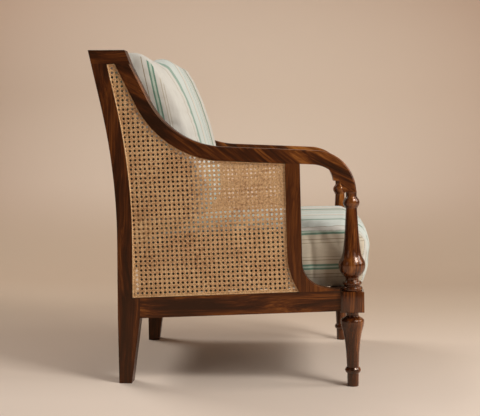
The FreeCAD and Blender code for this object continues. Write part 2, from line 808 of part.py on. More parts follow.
def seat_cushion():
    wires = []
    depth = seat_cushion_front + seat_cushion_back
    for i, share in enumerate(seat_place_shares):
        place = -seat_cushion_back + share * depth
        half = seat_cushion_half_width * seat_width_shares[i]
        side = seat_cushion_side * seat_side_shares[i]
        crown = seat_cushion_crown * seat_crown_shares[i]
        points = [V(place, -half, soft_clearance), V(place, half, soft_clearance),
                  V(place, half, side), V(place, -half, side)]
        wires.append(section(points, [0, boxing_bulge, crown, boxing_bulge]))
    return on_deck(Part.makeLoft(wires, True, True))


def post_front_place(height, depth_in):
    """How far forward a surface at this depth in the rear post stands at a height."""
    corner = post_corner_height
    rake = math.radians(post_rake_deg)
    tangent = post_bend_radius * math.tan(rake / 2)
    low = corner - tangent
    high = corner + tangent * math.cos(rake)
    if height <= low:
        return -leg_back + depth_in
    if height >= high:
        return at_height(shifted(back_high_line, depth_in), height)[0]
    radius = post_bend_radius + depth_in
    return -leg_back - post_bend_radius + math.sqrt(radius ** 2 - (height - low) ** 2)


# Up the back cushion: height, width, depth of the sides, crown of the front, and distance off the back
back_height_shares = [0, 0.04, 0.12, 0.26, 0.42, 0.58, 0.73, 0.85, 0.93, 0.98, 1]
back_width_shares = [0.87, 0.95, 0.985, 0.998, 0.995, 0.99, 0.995, 1.0, 0.995, 0.97, 0.93]
back_depth_shares = [0.90, 1.20, 1.36, 1.34, 1.265, 1.20, 1.125, 1.045, 0.96, 0.88, 0.80]
back_crown_shares = [0.25, 0.45, 0.60, 0.75, 0.88, 0.95, 1.0, 1.0, 0.92, 0.60, 0.30]
back_stand_shares = [0.30, 0.10, 0.02, 0, 0, 0, 0, 0.02, 0.08, 0.22, 0.38]


def back_cushion():
    wall_depth = back_rail_setback + back_rail_thickness
    first_front = (post_front_place(lower_rail_top, wall_depth) + back_cushion_gap
                   + back_depth_shares[0] * back_cushion_depth + back_crown_shares[0] * back_cushion_crown)
    seat_place = first_front + seat_top(first_front) * seat_slope
    bottom = at_place(rail_line, seat_place)[1] + seat_top(seat_place) + soft_clearance
    wires = []
    for i, share in enumerate(back_height_shares):
        height = bottom + share * (back_cushion_top - bottom)
        wall = post_front_place(height, wall_depth) + back_cushion_gap
        rear = wall + back_stand_shares[i] * back_cushion_depth
        front = wall + back_depth_shares[i] * back_cushion_depth
        half = back_cushion_half_width * back_width_shares[i]
        crown = back_cushion_crown * back_crown_shares[i]
        points = [V(rear, -half, height), V(rear, half, height), V(front, half, height),
                  V(front, -half, height)]
        wires.append(section(points, [0, 0, crown, 0]))
    return Part.makeLoft(wires, True, True)


def build():
    nodes = {}
    groove = cane_groove()
    mortise = back_cane_groove()

    leg = rear_leg_blank()
    leg = leg.cut([groove, tenon_plate(rear_rail_tenon, joint_clearance)] + cap_tongues(joint_clearance))
    leg = in_place(leg)
    deep = between(half_thickness - rear_tenon_length - joint_clearance)
    rear_mortise = plate(cross_tenon(rear_rail_back, rear_rail_front, rear_rail_low, rear_rail_high,
                                     joint_clearance), -side_offset, side_offset).common(deep)
    shallow = between(half_thickness - back_tenon_length - joint_clearance)
    back_mortises = [plate(outline, -side_offset, side_offset).common(shallow)
                     for outline in (crest_tenon(joint_clearance), lower_tenon(joint_clearance))]
    leg = leg.cut([rear_mortise, mortise] + back_mortises)

    cap = top_cap_blank().cut([groove] + cap_tongues(joint_clearance))
    arm_rear = eased(arm_rear_blank(), arm_rear_blank(arm_edge_ease))
    arm_rear = arm_rear.cut([groove, support_tenon(joint_clearance), scarf_tongue(joint_clearance)]
                            + cap_tongues(joint_clearance))
    arm_front = eased(arm_front_blank(), arm_front_skin())
    arm_front = arm_front.cut([post_tenon(post_tenon_clearance), scarf_tongue(joint_clearance)])

    support = arm_support_blank().fuse(support_tenon()).removeSplitter().cut(groove)
    rail = side_rail().cut(groove)
    post = front_post_blank().cut(tenon_plate(front_rail_tenon, joint_clearance))
    front_mortise = plate(cross_tenon(front_rail_back, front_rail_front, front_rail_low, front_rail_high,
                                      joint_clearance), -side_offset, side_offset)
    front_mortise = front_mortise.common(between(block_half - front_tenon_length - joint_clearance))

    right = {
        "rear_leg": leg,
        "top_cap": in_place(cap),
        "arm_rear": in_place(arm_rear),
        "arm_front": in_place(arm_front),
        "arm_support": in_place(support),
        "side_rail": in_place(rail),
        "front_post": in_place(post).cut(front_mortise),
        "cane_panel": in_place(side_cane_panel()),
        "cane_bead": in_place(side_cane_bead()),
        "seat_cleat": seat_cleat(),
        "rear_corner_block": rear_corner_block(),
        "front_corner_block": front_corner_block(),
    }
    for name, shape in right.items():
        nodes["right_" + name] = shape
        nodes["left_" + name] = mirrored(shape)

    nodes["front_rail"] = front_rail()
    nodes["rear_rail"] = rear_rail()
    nodes["crest_rail"] = crest_rail().cut(mortise)
    nodes["lower_back_rail"] = lower_back_rail().cut(mortise)
    nodes["back_cane_panel"] = back_cane_panel()
    nodes["back_cane_bead"] = back_cane_bead()

    for i, start in enumerate(slat_places):
        nodes["seat_slat_%d" % (i + 1)] = seat_slat(start)
    tongues = [in_place(scarf_tongue())]
    nodes["scarf_tongues"] = Part.makeCompound(tongues + [mirrored(piece) for piece in tongues])
    tongues = [in_place(piece) for piece in cap_tongues()]
    nodes["cap_tongues"] = Part.makeCompound(tongues + [mirrored(piece) for piece in tongues])

    nodes["seat_cushion"] = seat_cushion()
    nodes["back_cushion"] = back_cushion()
    return nodes


os.makedirs("parts", exist_ok=True)
for name, shape in build().items():
    solids = shape.Solids
    print(name, "solids", len(solids), "valid", shape.isValid(), "volume", round(shape.Volume))
    shape.exportStep("parts/" + name + ".step")
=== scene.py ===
"""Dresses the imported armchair: turned posts, woven cane, striped cushions, wood, light and camera."""
import math

import bmesh
import bpy
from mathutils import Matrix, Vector
from mathutils.bvhtree import BVHTree
from mathutils.kdtree import KDTree


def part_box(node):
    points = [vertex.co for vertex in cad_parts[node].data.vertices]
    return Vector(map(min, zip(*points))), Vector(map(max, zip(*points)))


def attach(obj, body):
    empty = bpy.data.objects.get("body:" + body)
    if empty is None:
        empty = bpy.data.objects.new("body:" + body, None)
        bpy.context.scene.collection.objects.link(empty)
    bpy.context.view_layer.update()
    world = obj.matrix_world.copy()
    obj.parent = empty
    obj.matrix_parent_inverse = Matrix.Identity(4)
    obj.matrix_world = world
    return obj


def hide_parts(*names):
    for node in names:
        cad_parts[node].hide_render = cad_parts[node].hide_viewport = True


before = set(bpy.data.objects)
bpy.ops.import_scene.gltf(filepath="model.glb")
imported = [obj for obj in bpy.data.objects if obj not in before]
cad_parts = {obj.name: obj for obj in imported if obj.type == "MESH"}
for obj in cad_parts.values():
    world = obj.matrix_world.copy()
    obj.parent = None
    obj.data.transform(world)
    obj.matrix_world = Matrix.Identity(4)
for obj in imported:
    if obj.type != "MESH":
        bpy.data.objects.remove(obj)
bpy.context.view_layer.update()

scene = bpy.context.scene
MM = 0.001
MERGE_DISTANCE = 1e-5

# The camera at the photograph's viewing angle
CAMERA_PLACE = (0.161, -3.2733, 0.7028)
CAMERA_YAW = -0.0451
CAMERA_PITCH = 0.0722
IMAGE_WIDTH = 480
FOCAL_PIXELS = 1077.9
SENSOR_WIDTH = 36

# The chair's own sizes, in metres
FRONT_SPACING = 0.66526
REAR_SPACING = 0.6250
FRONT_FOOT = 0.34062
REAR_FOOT = 0.28935
TOE_OUT = math.atan((FRONT_SPACING - REAR_SPACING) / 2 / (FRONT_FOOT + REAR_FOOT))
SIDE_OFFSET = REAR_SPACING / 2 + REAR_FOOT * math.tan(TOE_OUT)
SEAT_SLOPE = math.radians(2.8)
DECK_HEIGHT = 0.2515
SHEET_MIDDLE = -0.0166
POST_PLACE = 0.3367
POST_LEAN = math.radians(1.0)
BLOCK_MIDDLE = 0.2362
BLOCK_SIZE = 0.064
BLOCK_HEIGHT = 0.057
LEG_BACK = 0.310
BEND_HEIGHT = 0.58366
BEND_RADIUS = 1.7087
RAKE = math.radians(12.9)
FRAME_HALF = 0.023
GROOVE = 0.005
BACK_CANE_DEPTH = 0.016
BACK_CANE_LOW = 0.340
BACK_CANE_HIGH = 0.851
BACK_CUSHION_DEPTH = 0.032
SLAT_COUNT = 7


def side_place(x, y, z, mirror):
    """A point of the right side frame's own plane, put in its place, or mirrored to the left side."""
    px = x * math.cos(TOE_OUT) + y * math.sin(TOE_OUT)
    py = -x * math.sin(TOE_OUT) + y * math.cos(TOE_OUT) - SIDE_OFFSET
    return Vector((px, -py if mirror else py, z))


def side_plane(point):
    """The reverse of side_place, for a point of the right side frame."""
    y = point.y + SIDE_OFFSET
    return Vector((point.x * math.cos(TOE_OUT) - y * math.sin(TOE_OUT),
                   point.x * math.sin(TOE_OUT) + y * math.cos(TOE_OUT), point.z))


def share(value, low, high):
    """How far a value lies between two others, from 0 to 1, with soft ends."""
    t = min(max((value - low) / (high - low), 0.0), 1.0)
    return t * t * (3 - 2 * t)


def bmesh_object(name, bm, material, body, sharp_deg):
    """Turns a bmesh into a piece with smooth faces, apart from its sharp edges, that rides on a body."""
    bmesh.ops.recalc_face_normals(bm, faces=bm.faces)
    mesh = bpy.data.meshes.new(name)
    bm.to_mesh(mesh)
    bm.free()
    mesh.shade_smooth()
    mesh.set_sharp_from_angle(angle=math.radians(sharp_deg))
    obj = bpy.data.objects.new(name, mesh)
    scene.collection.objects.link(obj)
    mesh.materials.append(material)
    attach(obj, body)
    return obj


def listed_object(name, vertices, faces, material, body):
    """A piece from lists of vertices and faces."""
    mesh = bpy.data.meshes.new(name)
    mesh.from_pydata([tuple(v) for v in vertices], [], faces)
    mesh.validate()
    bm = bmesh.new()
    bm.from_mesh(mesh)
    bpy.data.meshes.remove(mesh)
    return bmesh_object(name, bm, material, body, 60)


# ---------------------------------------------------------------- materials
class Nodes:
    """A short way to write a material's node tree."""

    def __init__(self, name):
        self.material = bpy.data.materials.new(name)
        self.material.use_nodes = True
        self.tree = self.material.node_tree
        self.shader = self.tree.nodes["Principled BSDF"]
        self.out = self.tree.nodes["Material Output"]

    def add(self, kind, **values):
        node = self.tree.nodes.new(kind)
        for key, value in values.items():
            if key in node.inputs:
                self.put(node.inputs[key], value)
            else:
                setattr(node, key, value)
        return node

    def put(self, socket, value):
        if isinstance(value, bpy.types.NodeSocket):
            self.tree.links.new(value, socket)
        else:
            socket.default_value = value

    def math(self, operation, first, second=0.0):
        node = self.tree.nodes.new("ShaderNodeMath")
        node.operation = operation
        self.put(node.inputs[0], first)
        self.put(node.inputs[1], second)
        return node.outputs[0]

    def plus(self, first, second):
        return self.math("ADD", first, second)

    def times(self, first, second):
        return self.math("MULTIPLY", first, second)

    def parts(self, vector):
        node = self.add("ShaderNodeSeparateXYZ")
        self.put(node.inputs[0], vector)
        return node.outputs

    def mix(self, factor, first, second):
        node = self.tree.nodes.new("ShaderNodeMix")
        node.data_type = "RGBA"
        self.put(node.inputs[0], factor)
        self.put(node.inputs[6], first)
        self.put(node.inputs[7], second)
        return node.outputs[2]

    def ramp(self, value, stops, interpolation="LINEAR"):
        node = self.tree.nodes.new("ShaderNodeValToRGB")
        node.color_ramp.interpolation = interpolation
        elements = node.color_ramp.elements
        while len(elements) < len(stops):
            elements.new(1.0)
        for element, (position, _) in zip(elements, stops):
            element.position = position
        for element, (_, shade) in zip(elements, stops):
            element.color = shade
        self.put(node.inputs[0], value)
        return node.outputs[0]

    def coordinates(self, turn=(0, 0, 0), move=(0, 0, 0)):
        source = self.add("ShaderNodeTexCoord")
        mapping = self.add("ShaderNodeMapping", Location=move, Rotation=turn)
        self.put(mapping.inputs["Vector"], source.outputs["Object"])
        return mapping.outputs[0]

    def scaled(self, vector, scale):
        mapping = self.add("ShaderNodeMapping", Scale=scale)
        self.put(mapping.inputs["Vector"], vector)
        return mapping.outputs[0]

    def noise(self, vector, scale, detail=3.0, roughness=0.55, distortion=0.0):
        node = self.add("ShaderNodeTexNoise", Scale=scale, Detail=detail, Roughness=roughness,
                        Distortion=distortion)
        self.put(node.inputs["Vector"], vector)
        return node.outputs["Fac"]

    def bump(self, height, distance, strength=1.0, normal=None):
        node = self.add("ShaderNodeBump", Strength=strength, Distance=distance)
        self.put(node.inputs["Height"], height)
        if normal is not None:
            self.put(node.inputs["Normal"], normal)
        return node.outputs[0]

    def shade(self, values):
        """Sets the shader's inputs by their names and gives the finished material."""
        for key, value in values.items():
            self.put(self.shader.inputs[key], value)
        return self.material


def colour(red, green, blue):
    """A linear colour from a display colour given as 0 to 255."""
    def linear(value):
        value /= 255
        return value / 12.92 if value <= 0.04045 else ((value + 0.055) / 1.055) ** 2.4
    return linear(red), linear(green), linear(blue), 1.0


WOOD_BLACK = colour(34, 15, 7)
WOOD_DARK = colour(68, 31, 12)
WOOD_MIDDLE = colour(108, 58, 22)
WOOD_LIGHT = colour(158, 98, 44)

# The turn that brings a piece's grain to the Z axis
GRAIN_TURNS = {
    "upright": (0, 0, 0),
    "forward": (0, math.radians(90), 0),
    "across": (math.radians(90), 0, 0),
    "swept": (0, math.radians(52), 0),
    "falling": (0, math.radians(66), 0),
}


def wood(name, grain, seed, lightness=0.0, contrast=1.0, gloss=0.32, polish=0.10):
    """Oiled dark rosewood: long soft figure, finer streaks and pores along the grain and a thin polish."""
    n = Nodes(name)
    base = n.coordinates(turn=GRAIN_TURNS[grain], move=(seed * 0.37, seed * 0.53, seed * 0.71))
    sway = n.math("SUBTRACT", n.noise(n.scaled(base, (1.0, 1.0, 0.35)), 5.0, 2.0), 0.5)
    shift = n.add("ShaderNodeCombineXYZ", X=n.times(sway, 0.16), Y=n.times(sway, -0.12))
    bent = n.add("ShaderNodeVectorMath", operation="ADD")
    n.put(bent.inputs[0], base)
    n.put(bent.inputs[1], shift.outputs[0])
    bent = bent.outputs[0]
    broad = n.noise(n.scaled(bent, (1.0, 1.0, 0.10)), 30.0, 2.0, 0.5)
    streaks = n.noise(n.scaled(bent, (1.0, 1.0, 0.035)), 130.0, 3.0, 0.65)
    fine = n.noise(n.scaled(bent, (1.0, 1.0, 0.03)), 480.0, 2.0)
    figure = n.plus(n.times(broad, 0.50), n.times(streaks, 0.36))
    figure = n.plus(figure, n.times(fine, 0.14))
    figure = n.plus(n.times(figure, contrast), 0.5 - 0.5 * contrast + lightness)
    tone = n.ramp(figure, [(0.38, WOOD_BLACK), (0.46, WOOD_DARK), (0.54, WOOD_MIDDLE), (0.66, WOOD_LIGHT)])
    pores = n.noise(n.scaled(base, (1.0, 1.0, 0.05)), 760.0, 1.0)
    pore_mask = n.ramp(pores, [(0.34, (1, 1, 1, 1)), (0.44, (0, 0, 0, 1))])
    tone = n.mix(n.times(pore_mask, 0.45), tone, WOOD_BLACK)
    relief = n.math("SUBTRACT", fine, n.times(pore_mask, 0.5))
    return n.shade({"Base Color": tone, "Roughness": n.plus(n.times(streaks, 0.16), gloss),
                    "Normal": n.bump(relief, 0.0004, 0.3), "Specular IOR Level": 0.55,
                    "Specular Tint": (1.0, 0.56, 0.32, 1.0), "Coat Weight": polish, "Coat Roughness": 0.06})


def deck_wood(name, seed):
    """Plain plantation wood of the hidden deck, with straight grain across the chair, coloured dark brown as painted
    shade for the deep shade under the cushion.
    """
    n = Nodes(name)
    base = n.coordinates(turn=GRAIN_TURNS["across"], move=(seed * 0.41, seed * 0.27, seed * 0.13))
    grain = n.noise(n.scaled(base, (60.0, 60.0, 1.6)), 1.0, 5.0, 0.6, 0.6)
    # Painted shade: the slats' dark brown stands for the shade under the cushion.
    tone = n.ramp(grain, [(0.28, colour(62, 36, 20)), (0.5, colour(88, 54, 30)), (0.75, colour(112, 72, 42))])
    return n.shade({"Base Color": tone, "Roughness": n.plus(n.times(grain, 0.2), 0.55),
                    "Normal": n.bump(grain, 0.0006, 0.4)})


def cane(name, pale=0.0):
    """Split rattan: a warm tan skin with darker nodes and streaks and a soft natural gloss."""
    n = Nodes(name)
    base = n.coordinates()
    broad = n.noise(base, 14.0, 3.0)
    fine = n.noise(base, 210.0, 3.0, 0.6)
    mixed = n.plus(n.times(broad, 0.25), n.times(fine, 0.75))
    mixed = n.plus(mixed, pale)
    tone = n.ramp(mixed, [(0.34, colour(150, 104, 66)), (0.45, colour(200, 154, 106)),
                          (0.56, colour(222, 180, 130)), (0.70, colour(244, 212, 166))])
    return n.shade({"Base Color": tone, "Roughness": n.plus(n.times(fine, 0.25), 0.34),
                    "Normal": n.bump(fine, 0.0003, 0.5)})


def steel(name):
    """Lightly scratched zinc-plated steel of the screws."""
    n = Nodes(name)
    scratches = n.noise(n.coordinates(), 900.0, 2.0)
    return n.shade({"Base Color": n.mix(scratches, colour(150, 142, 128), colour(186, 178, 160)),
                    "Roughness": n.plus(n.times(scratches, 0.2), 0.28), "Metallic": 1.0})


CREAM = colour(210, 206, 196)
WARM_CREAM = colour(208, 196, 174)
BLUISH = colour(205, 210, 202)
TAUPE = colour(152, 136, 112)
GREEN = colour(104, 138, 120)
SOFT_GREEN = colour(152, 174, 156)
PALE_GREEN = colour(184, 197, 180)
MEDIUM_GREEN = colour(146, 168, 154)
BEIGE = colour(182, 170, 148)
BLUSH = colour(220, 206, 190)

# Stripes over one repeat of the cloth, as (place where the colour starts, colour), in millimetres
PANEL_REPEAT = 250.0
PANEL_STRIPES = [(0, GREEN), (6.5, BLUISH), (12, SOFT_GREEN), (13.5, BLUISH), (45, MEDIUM_GREEN), (48, BLUSH),
                 (56, BLUISH), (80, MEDIUM_GREEN), (83, BLUISH), (100, MEDIUM_GREEN), (102, BLUISH),
                 (114, MEDIUM_GREEN), (117, CREAM), (123, TAUPE), (124.5, CREAM), (135.5, GREEN),
                 (142, SOFT_GREEN), (145, GREEN), (151.5, CREAM), (167, TAUPE), (168.5, CREAM), (205, TAUPE),
                 (206.5, BLUISH)]
BACK_STRIPES = [(0, MEDIUM_GREEN), (12, BLUISH)] + \
    [stripe for stripe in PANEL_STRIPES if 40 < stripe[0] < 200] + [(236, BEIGE), (237.5, CREAM)]
GUSSET_REPEAT = 97.0
GUSSET_STRIPES = [(0, WARM_CREAM), (17.5, TAUPE), (19.0, WARM_CREAM), (27.0, TAUPE), (29.0, WARM_CREAM),
                  (40.6, GREEN), (46.2, PALE_GREEN), (50.4, GREEN), (56.4, WARM_CREAM), (66.5, TAUPE),
                  (68.5, WARM_CREAM), (75.5, TAUPE), (76.8, WARM_CREAM)]
BACK_GUSSET_STRIPES = [(0, CREAM), (26.5, TAUPE), (28.5, CREAM), (40.6, GREEN), (45.8, PALE_GREEN),
                       (51.2, GREEN), (56.4, CREAM), (67.0, BEIGE), (69.0, CREAM), (74.0, BEIGE), (75.5, CREAM)]

THREAD_PITCH = 0.0011
SEAM_HALF = 0.0007

# The painted shade in the gap behind a side cane: its start and full depth from the chair's middle, and where the
# swept rail over it starts to rise backwards, at which height and how strongly
GAP_START, GAP_FULL = 0.235, 0.25
SWEEP_START, SWEEP_HEIGHT, SWEEP_RISE = -0.035, 0.58, 1.25


def painted_shade_behind_cane(n):
    """How deep in the gap between a side cane and the cushions a place in the chair lies, from 0 to 1: the strength
    of the painted shade there.
    """
    x, y, z = n.parts(n.add("ShaderNodeNewGeometry").outputs["Position"])

    def over(value, low, high):
        return n.add("ShaderNodeMapRange", Value=value, **{"From Min": low, "From Max": high}).outputs[0]
    reach = n.math("POWER", n.math("MAXIMUM", n.math("SUBTRACT", SWEEP_START, x), 0.0), 1.5)
    sweep = n.plus(n.times(reach, SWEEP_RISE), SWEEP_HEIGHT)
    upper = n.times(over(x, -0.09, -0.12), over(n.math("SUBTRACT", z, sweep), 0.02, 0.0))
    lower = n.times(over(x, 0.165, 0.145), over(z, 0.445, 0.43))
    depth = over(n.math("ABSOLUTE", y), GAP_START, GAP_FULL)
    return n.times(depth, n.math("MAXIMUM", upper, lower))


def striped_cloth(name, panel_stripes, gusset_stripes, painted_seam_shadow):
    """Woven cotton: stripes by the mesh's own distances on panels and gussets, a fine plain weave and slubs, with
    painted shadow along the seams and painted shade in the gap behind the side canes.
    """
    n = Nodes(name)

    def measure(key):
        return n.add("ShaderNodeAttribute", attribute_name=key, attribute_type="GEOMETRY").outputs["Fac"]
    across, rise, side, along = (measure(key) for key in ("across", "rise", "side", "along"))
    space = n.coordinates()
    waver = n.times(n.math("SUBTRACT", n.noise(space, 16.0, 2.0), 0.5), 0.0018)
    tones = []
    for place, stripes, repeat in ((across, panel_stripes, PANEL_REPEAT), (rise, gusset_stripes, GUSSET_REPEAT)):
        part = n.math("FRACT", n.math("DIVIDE", n.plus(place, waver), repeat * MM))
        tones.append(n.ramp(part, [(start / repeat, shade) for start, shade in stripes], "CONSTANT"))
    on_gusset = n.math("GREATER_THAN", side, 0.0)
    tone = n.mix(on_gusset, tones[0], tones[1])
    # Painted shadow: a darker line along each gusset seam, where the cloth is sewn in.
    seam = n.math("LESS_THAN", n.math("ABSOLUTE", side), SEAM_HALF)
    tone = n.mix(n.times(seam, painted_seam_shadow), tone, colour(112, 100, 84))
    crosswise = n.mix(on_gusset, n.add("ShaderNodeCombineXYZ", X=across).outputs[0],
                      n.add("ShaderNodeCombineXYZ", X=rise).outputs[0])
    warp, weft = (n.math("SINE", n.times(place, 2 * math.pi / THREAD_PITCH))
                  for place in (crosswise, along))
    slubs = n.add("ShaderNodeCombineXYZ", X=n.times(crosswise, 900.0), Y=n.times(along, 28.0))
    slub = n.noise(slubs.outputs[0], 1.0, 2.0)
    tone = n.mix(n.times(n.math("SUBTRACT", slub, 0.3), 0.34), tone, colour(146, 134, 116))
    tone = n.mix(n.times(n.noise(space, 22.0, 3.0), 0.10), tone, colour(120, 108, 94))
    # Painted shade: the cloth turns near black where it lies in the gap behind a side cane, by its place in the
    # chair.
    tone = n.mix(n.times(painted_shade_behind_cane(n), 0.85), tone, colour(30, 20, 14))
    height = n.plus(n.times(n.times(warp, weft), 0.35), slub)
    folds = n.bump(n.noise(space, 26.0, 3.0, 0.5), 0.004, 0.35)
    return n.shade({"Base Color": tone, "Roughness": 0.86, "Specular IOR Level": 0.25,
                    "Normal": n.bump(height, 0.0003, 0.5, folds)})


def thread(name, tone):
    """Twisted sewing thread."""
    n = Nodes(name)
    ply = n.noise(n.coordinates(), 1400.0, 2.0)
    return n.shade({"Base Color": n.mix(n.times(ply, 0.4), tone, colour(120, 112, 98)),
                    "Roughness": 0.8, "Normal": n.bump(ply, 0.0003, 0.6)})


# ---------------------------------------------------------------- turned front posts
# Rows of height and radius in millimetres, and a bulge that rounds the run up to the row
UPPER_TURNING = [(264.6, 26.0, 0), (266.0, 27.6, 0.3), (274.5, 27.6, 0.8), (276.8, 24.5, 0.4), (277.3, 21.2, 0),
                 (279.6, 21.2, 0), (280.2, 23.6, 0), (291.0, 23.6, 3.0), (291.6, 18.8, 0), (295.0, 17.6, -0.3),
                 (300.0, 18.4, -0.4), (304.5, 21.6, -0.4), (312.3, 28.8, 0.7), (322.0, 34.6, 0.8),
                 (333.0, 36.6, 0.4), (344.0, 35.0, 0.8), (354.0, 30.0, 0.4), (366.0, 25.8, -0.6),
                 (386.0, 22.8, -0.3), (420.0, 19.4, -0.3), (450.0, 17.6, -0.1), (488.0, 15.4, -0.1),
                 (491.0, 15.6, 0), (492.5, 17.4, 0.2), (495.0, 18.0, 0.3), (496.0, 19.2, 0), (516.5, 19.2, 3.3),
                 (517.5, 17.4, 0), (520.0, 16.2, 0.2), (521.5, 15.0, 0), (528.0, 14.8, -0.3), (536.0, 15.6, -0.3)]
LOWER_TURNING = [(208.0, 22.0, 0), (206.0, 20.0, 0.3), (204.6, 17.6, 0), (200.0, 17.2, -0.2), (194.0, 18.4, -0.5),
                 (190.2, 24.4, -0.5), (185.0, 31.0, 0.6), (181.0, 32.2, 0.2), (175.5, 32.0, 0.1),
                 (166.0, 30.4, 0.3), (153.0, 26.4, 0.0), (141.0, 23.8, -0.1), (128.0, 21.8, -0.1),
                 (110.0, 19.8, -0.1), (88.0, 18.0, -0.1), (55.0, 16.6, 0.0), (53.0, 16.6, 0), (52.2, 18.4, 0),
                 (51.0, 19.2, 0), (38.0, 19.2, 2.8), (36.8, 17.6, 0), (36.0, 16.2, 0), (28.0, 16.0, 0),
                 (6.0, 15.6, 0), (0.8, 15.2, 0), (0.0, 14.2, 0.2)]
RUN_CUTS = 7
ROUND_CUTS = 56
BLOCK_EASE = 0.0016


def turned_profile(rows):
    """Heights and radii along a turning, with each bulged run cut up."""
    points = [(rows[0][0], rows[0][1])]
    for (z0, r0, _), (z1, r1, bulge) in zip(rows, rows[1:]):
        cuts = RUN_CUTS if bulge else 1
        for i in range(1, cuts + 1):
            t = i / cuts
            points.append((z0 + (z1 - z0) * t, r0 + (r1 - r0) * t + bulge * 4 * t * (1 - t)))
    return points


def post_mesh():
    """The post's turnings and its square block with eased edges, in its own upright axis."""
    bm = bmesh.new()
    for rows in (UPPER_TURNING, LOWER_TURNING):
        rings = []
        for z, radius in turned_profile(rows):
            ring = []
            for i in range(ROUND_CUTS):
                angle = 2 * math.pi * i / ROUND_CUTS
                ring.append(bm.verts.new((radius * MM * math.cos(angle), radius * MM * math.sin(angle), z * MM)))
            rings.append(ring)
        for low, high in zip(rings, rings[1:]):
            for i in range(ROUND_CUTS):
                j = (i + 1) % ROUND_CUTS
                bm.faces.new((low[i], low[j], high[j], high[i]))
        bm.faces.new(rings[0])
        bm.faces.new(rings[-1])
    block = bmesh.ops.create_cube(bm, size=1.0)["verts"]
    bmesh.ops.scale(bm, vec=(BLOCK_SIZE, BLOCK_SIZE, BLOCK_HEIGHT), verts=block)
    bmesh.ops.translate(bm, vec=(0, 0, BLOCK_MIDDLE), verts=block)
    edges = [edge for edge in bm.edges if edge.verts[0] in block]
    bmesh.ops.bevel(bm, geom=edges, offset=BLOCK_EASE, segments=3, profile=0.6, affect="EDGES")
    return bm


def front_posts(materials):
    """Both posts, leaning and toed out, in the place of the solids' plainer ones."""
    for mirror, side in ((False, "right"), (True, "left")):
        bm = post_mesh()
        for vert in bm.verts:
            z = vert.co.z - BLOCK_MIDDLE
            x = vert.co.x * math.cos(POST_LEAN) - z * math.sin(POST_LEAN)
            z = vert.co.x * math.sin(POST_LEAN) + z * math.cos(POST_LEAN) + BLOCK_MIDDLE
            vert.co = side_place(x + POST_PLACE, vert.co.y, max(z, 0.0), mirror)
        post = bmesh_object(side + "_turned_post", bm, materials[side], "frame", 32)
        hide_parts(side + "_front_post")


# ---------------------------------------------------------------- woven cane
CANE_PITCH = 0.0127
PAIR_OFFSET = 0.00165
STRAND_HALF = 0.00128
DIAGONAL_HALF = 0.00132
STRAND_THICKNESS = 0.0005
UPRIGHT_WAVE = 0.0006
DIAGONAL_WAVE = 0.0012
SHORTEST_STRAND = 0.003
END_CLEARANCE = 1e-4
FACE_TOLERANCE = 1e-4
MICRON = 1e-6
MITRE_LIMIT = 0.3


def crossings(segments, point, direction):
    """Distances along a line where it crosses a closed outline made of 2-D segments."""
    px, pw = point
    du, dw = direction
    found = []
    for (u1, w1), (u2, w2) in segments:
        eu, ew = u2 - u1, w2 - w1
        cross = du * ew - dw * eu
        if abs(cross) < 1e-12:
            continue
        along = ((u1 - px) * ew - (w1 - pw) * eu) / cross
        fraction = ((u1 - px) * dw - (w1 - pw) * du) / cross
        if 0 <= fraction < 1:
            found.append(along)
    found.sort()
    return list(zip(found[0::2], found[1::2]))


def strand_families(low, high):
    """Every strand of the weave as (point, direction, half width, step, height at a step number)."""
    p = CANE_PITCH
    (u0, w0), (u1, w1) = low, high
    diagonal = math.sqrt(0.5)
    for i in range(math.floor(u0 / p) - 1, math.ceil(u1 / p) + 1):
        for sign in (-1, 1):
            yield (((i + 0.5) * p + sign * PAIR_OFFSET, 0), (0, 1), STRAND_HALF, p / 2,
                   lambda k, i=i, sign=sign: 0 if k % 2 == 0 else sign * UPRIGHT_WAVE * (-1) ** ((k - 1) // 2 + i))
    for j in range(math.floor(w0 / p) - 1, math.ceil(w1 / p) + 1):
        for sign in (-1, 1):
            yield ((0, (j + 0.5) * p + sign * PAIR_OFFSET), (1, 0), STRAND_HALF, p / 2, lambda k: 0)
    reach = math.ceil((abs(u1) + abs(u0) + abs(w0) + abs(w1)) / p)
    for k in range(-reach, reach):
        for sign in (1, -1):
            yield (((k + 0.5) * p, 0), (sign * diagonal, diagonal), DIAGONAL_HALF, p * diagonal,
                   lambda m, sign=sign: sign * DIAGONAL_WAVE * (1 if m % 2 == 0 else -1))


def weave(segments, to_space):
    """Crowned ribbons for all strands inside an outline. to_space(u, w, lift) places a point of the sheet."""
    us = [u for segment in segments for u, _ in segment]
    ws = [w for segment in segments for _, w in segment]
    vertices, faces = [], []
    for point, direction, half, step, lift in strand_families((min(us), min(ws)), (max(us), max(ws))):
        for start, end in crossings(segments, point, direction):
            if end - start < SHORTEST_STRAND:
                continue
            inner = [k for k in range(math.ceil(start / step), math.floor(end / step) + 1)
                     if start + END_CLEARANCE < k * step < end - END_CLEARANCE]
            stops = [start] + [k * step for k in inner] + [end]
            lifts = [0] + [lift(k) for k in inner] + [0]
            base = len(vertices)
            for along, height in zip(stops, lifts):
                u, w = point[0] + direction[0] * along, point[1] + direction[1] * along
                nu, nw = -direction[1] * half, direction[0] * half
                vertices.append(to_space(u + nu, w + nw, height))
                vertices.append(to_space(u, w, height + STRAND_THICKNESS))
                vertices.append(to_space(u - nu, w - nw, height))
                vertices.append(to_space(u, w, height - STRAND_THICKNESS))
            for k in range(len(stops) - 1):
                a, b = base + 4 * k, base + 4 * k + 4
                for m in range(4):
                    faces.append((a + m, a + (m + 1) % 4, b + (m + 1) % 4, b + m))
            faces.append((base, base + 1, base + 2, base + 3))
            a = base + 4 * (len(stops) - 1)
            faces.append((a, a + 3, a + 2, a + 1))
    return vertices, faces


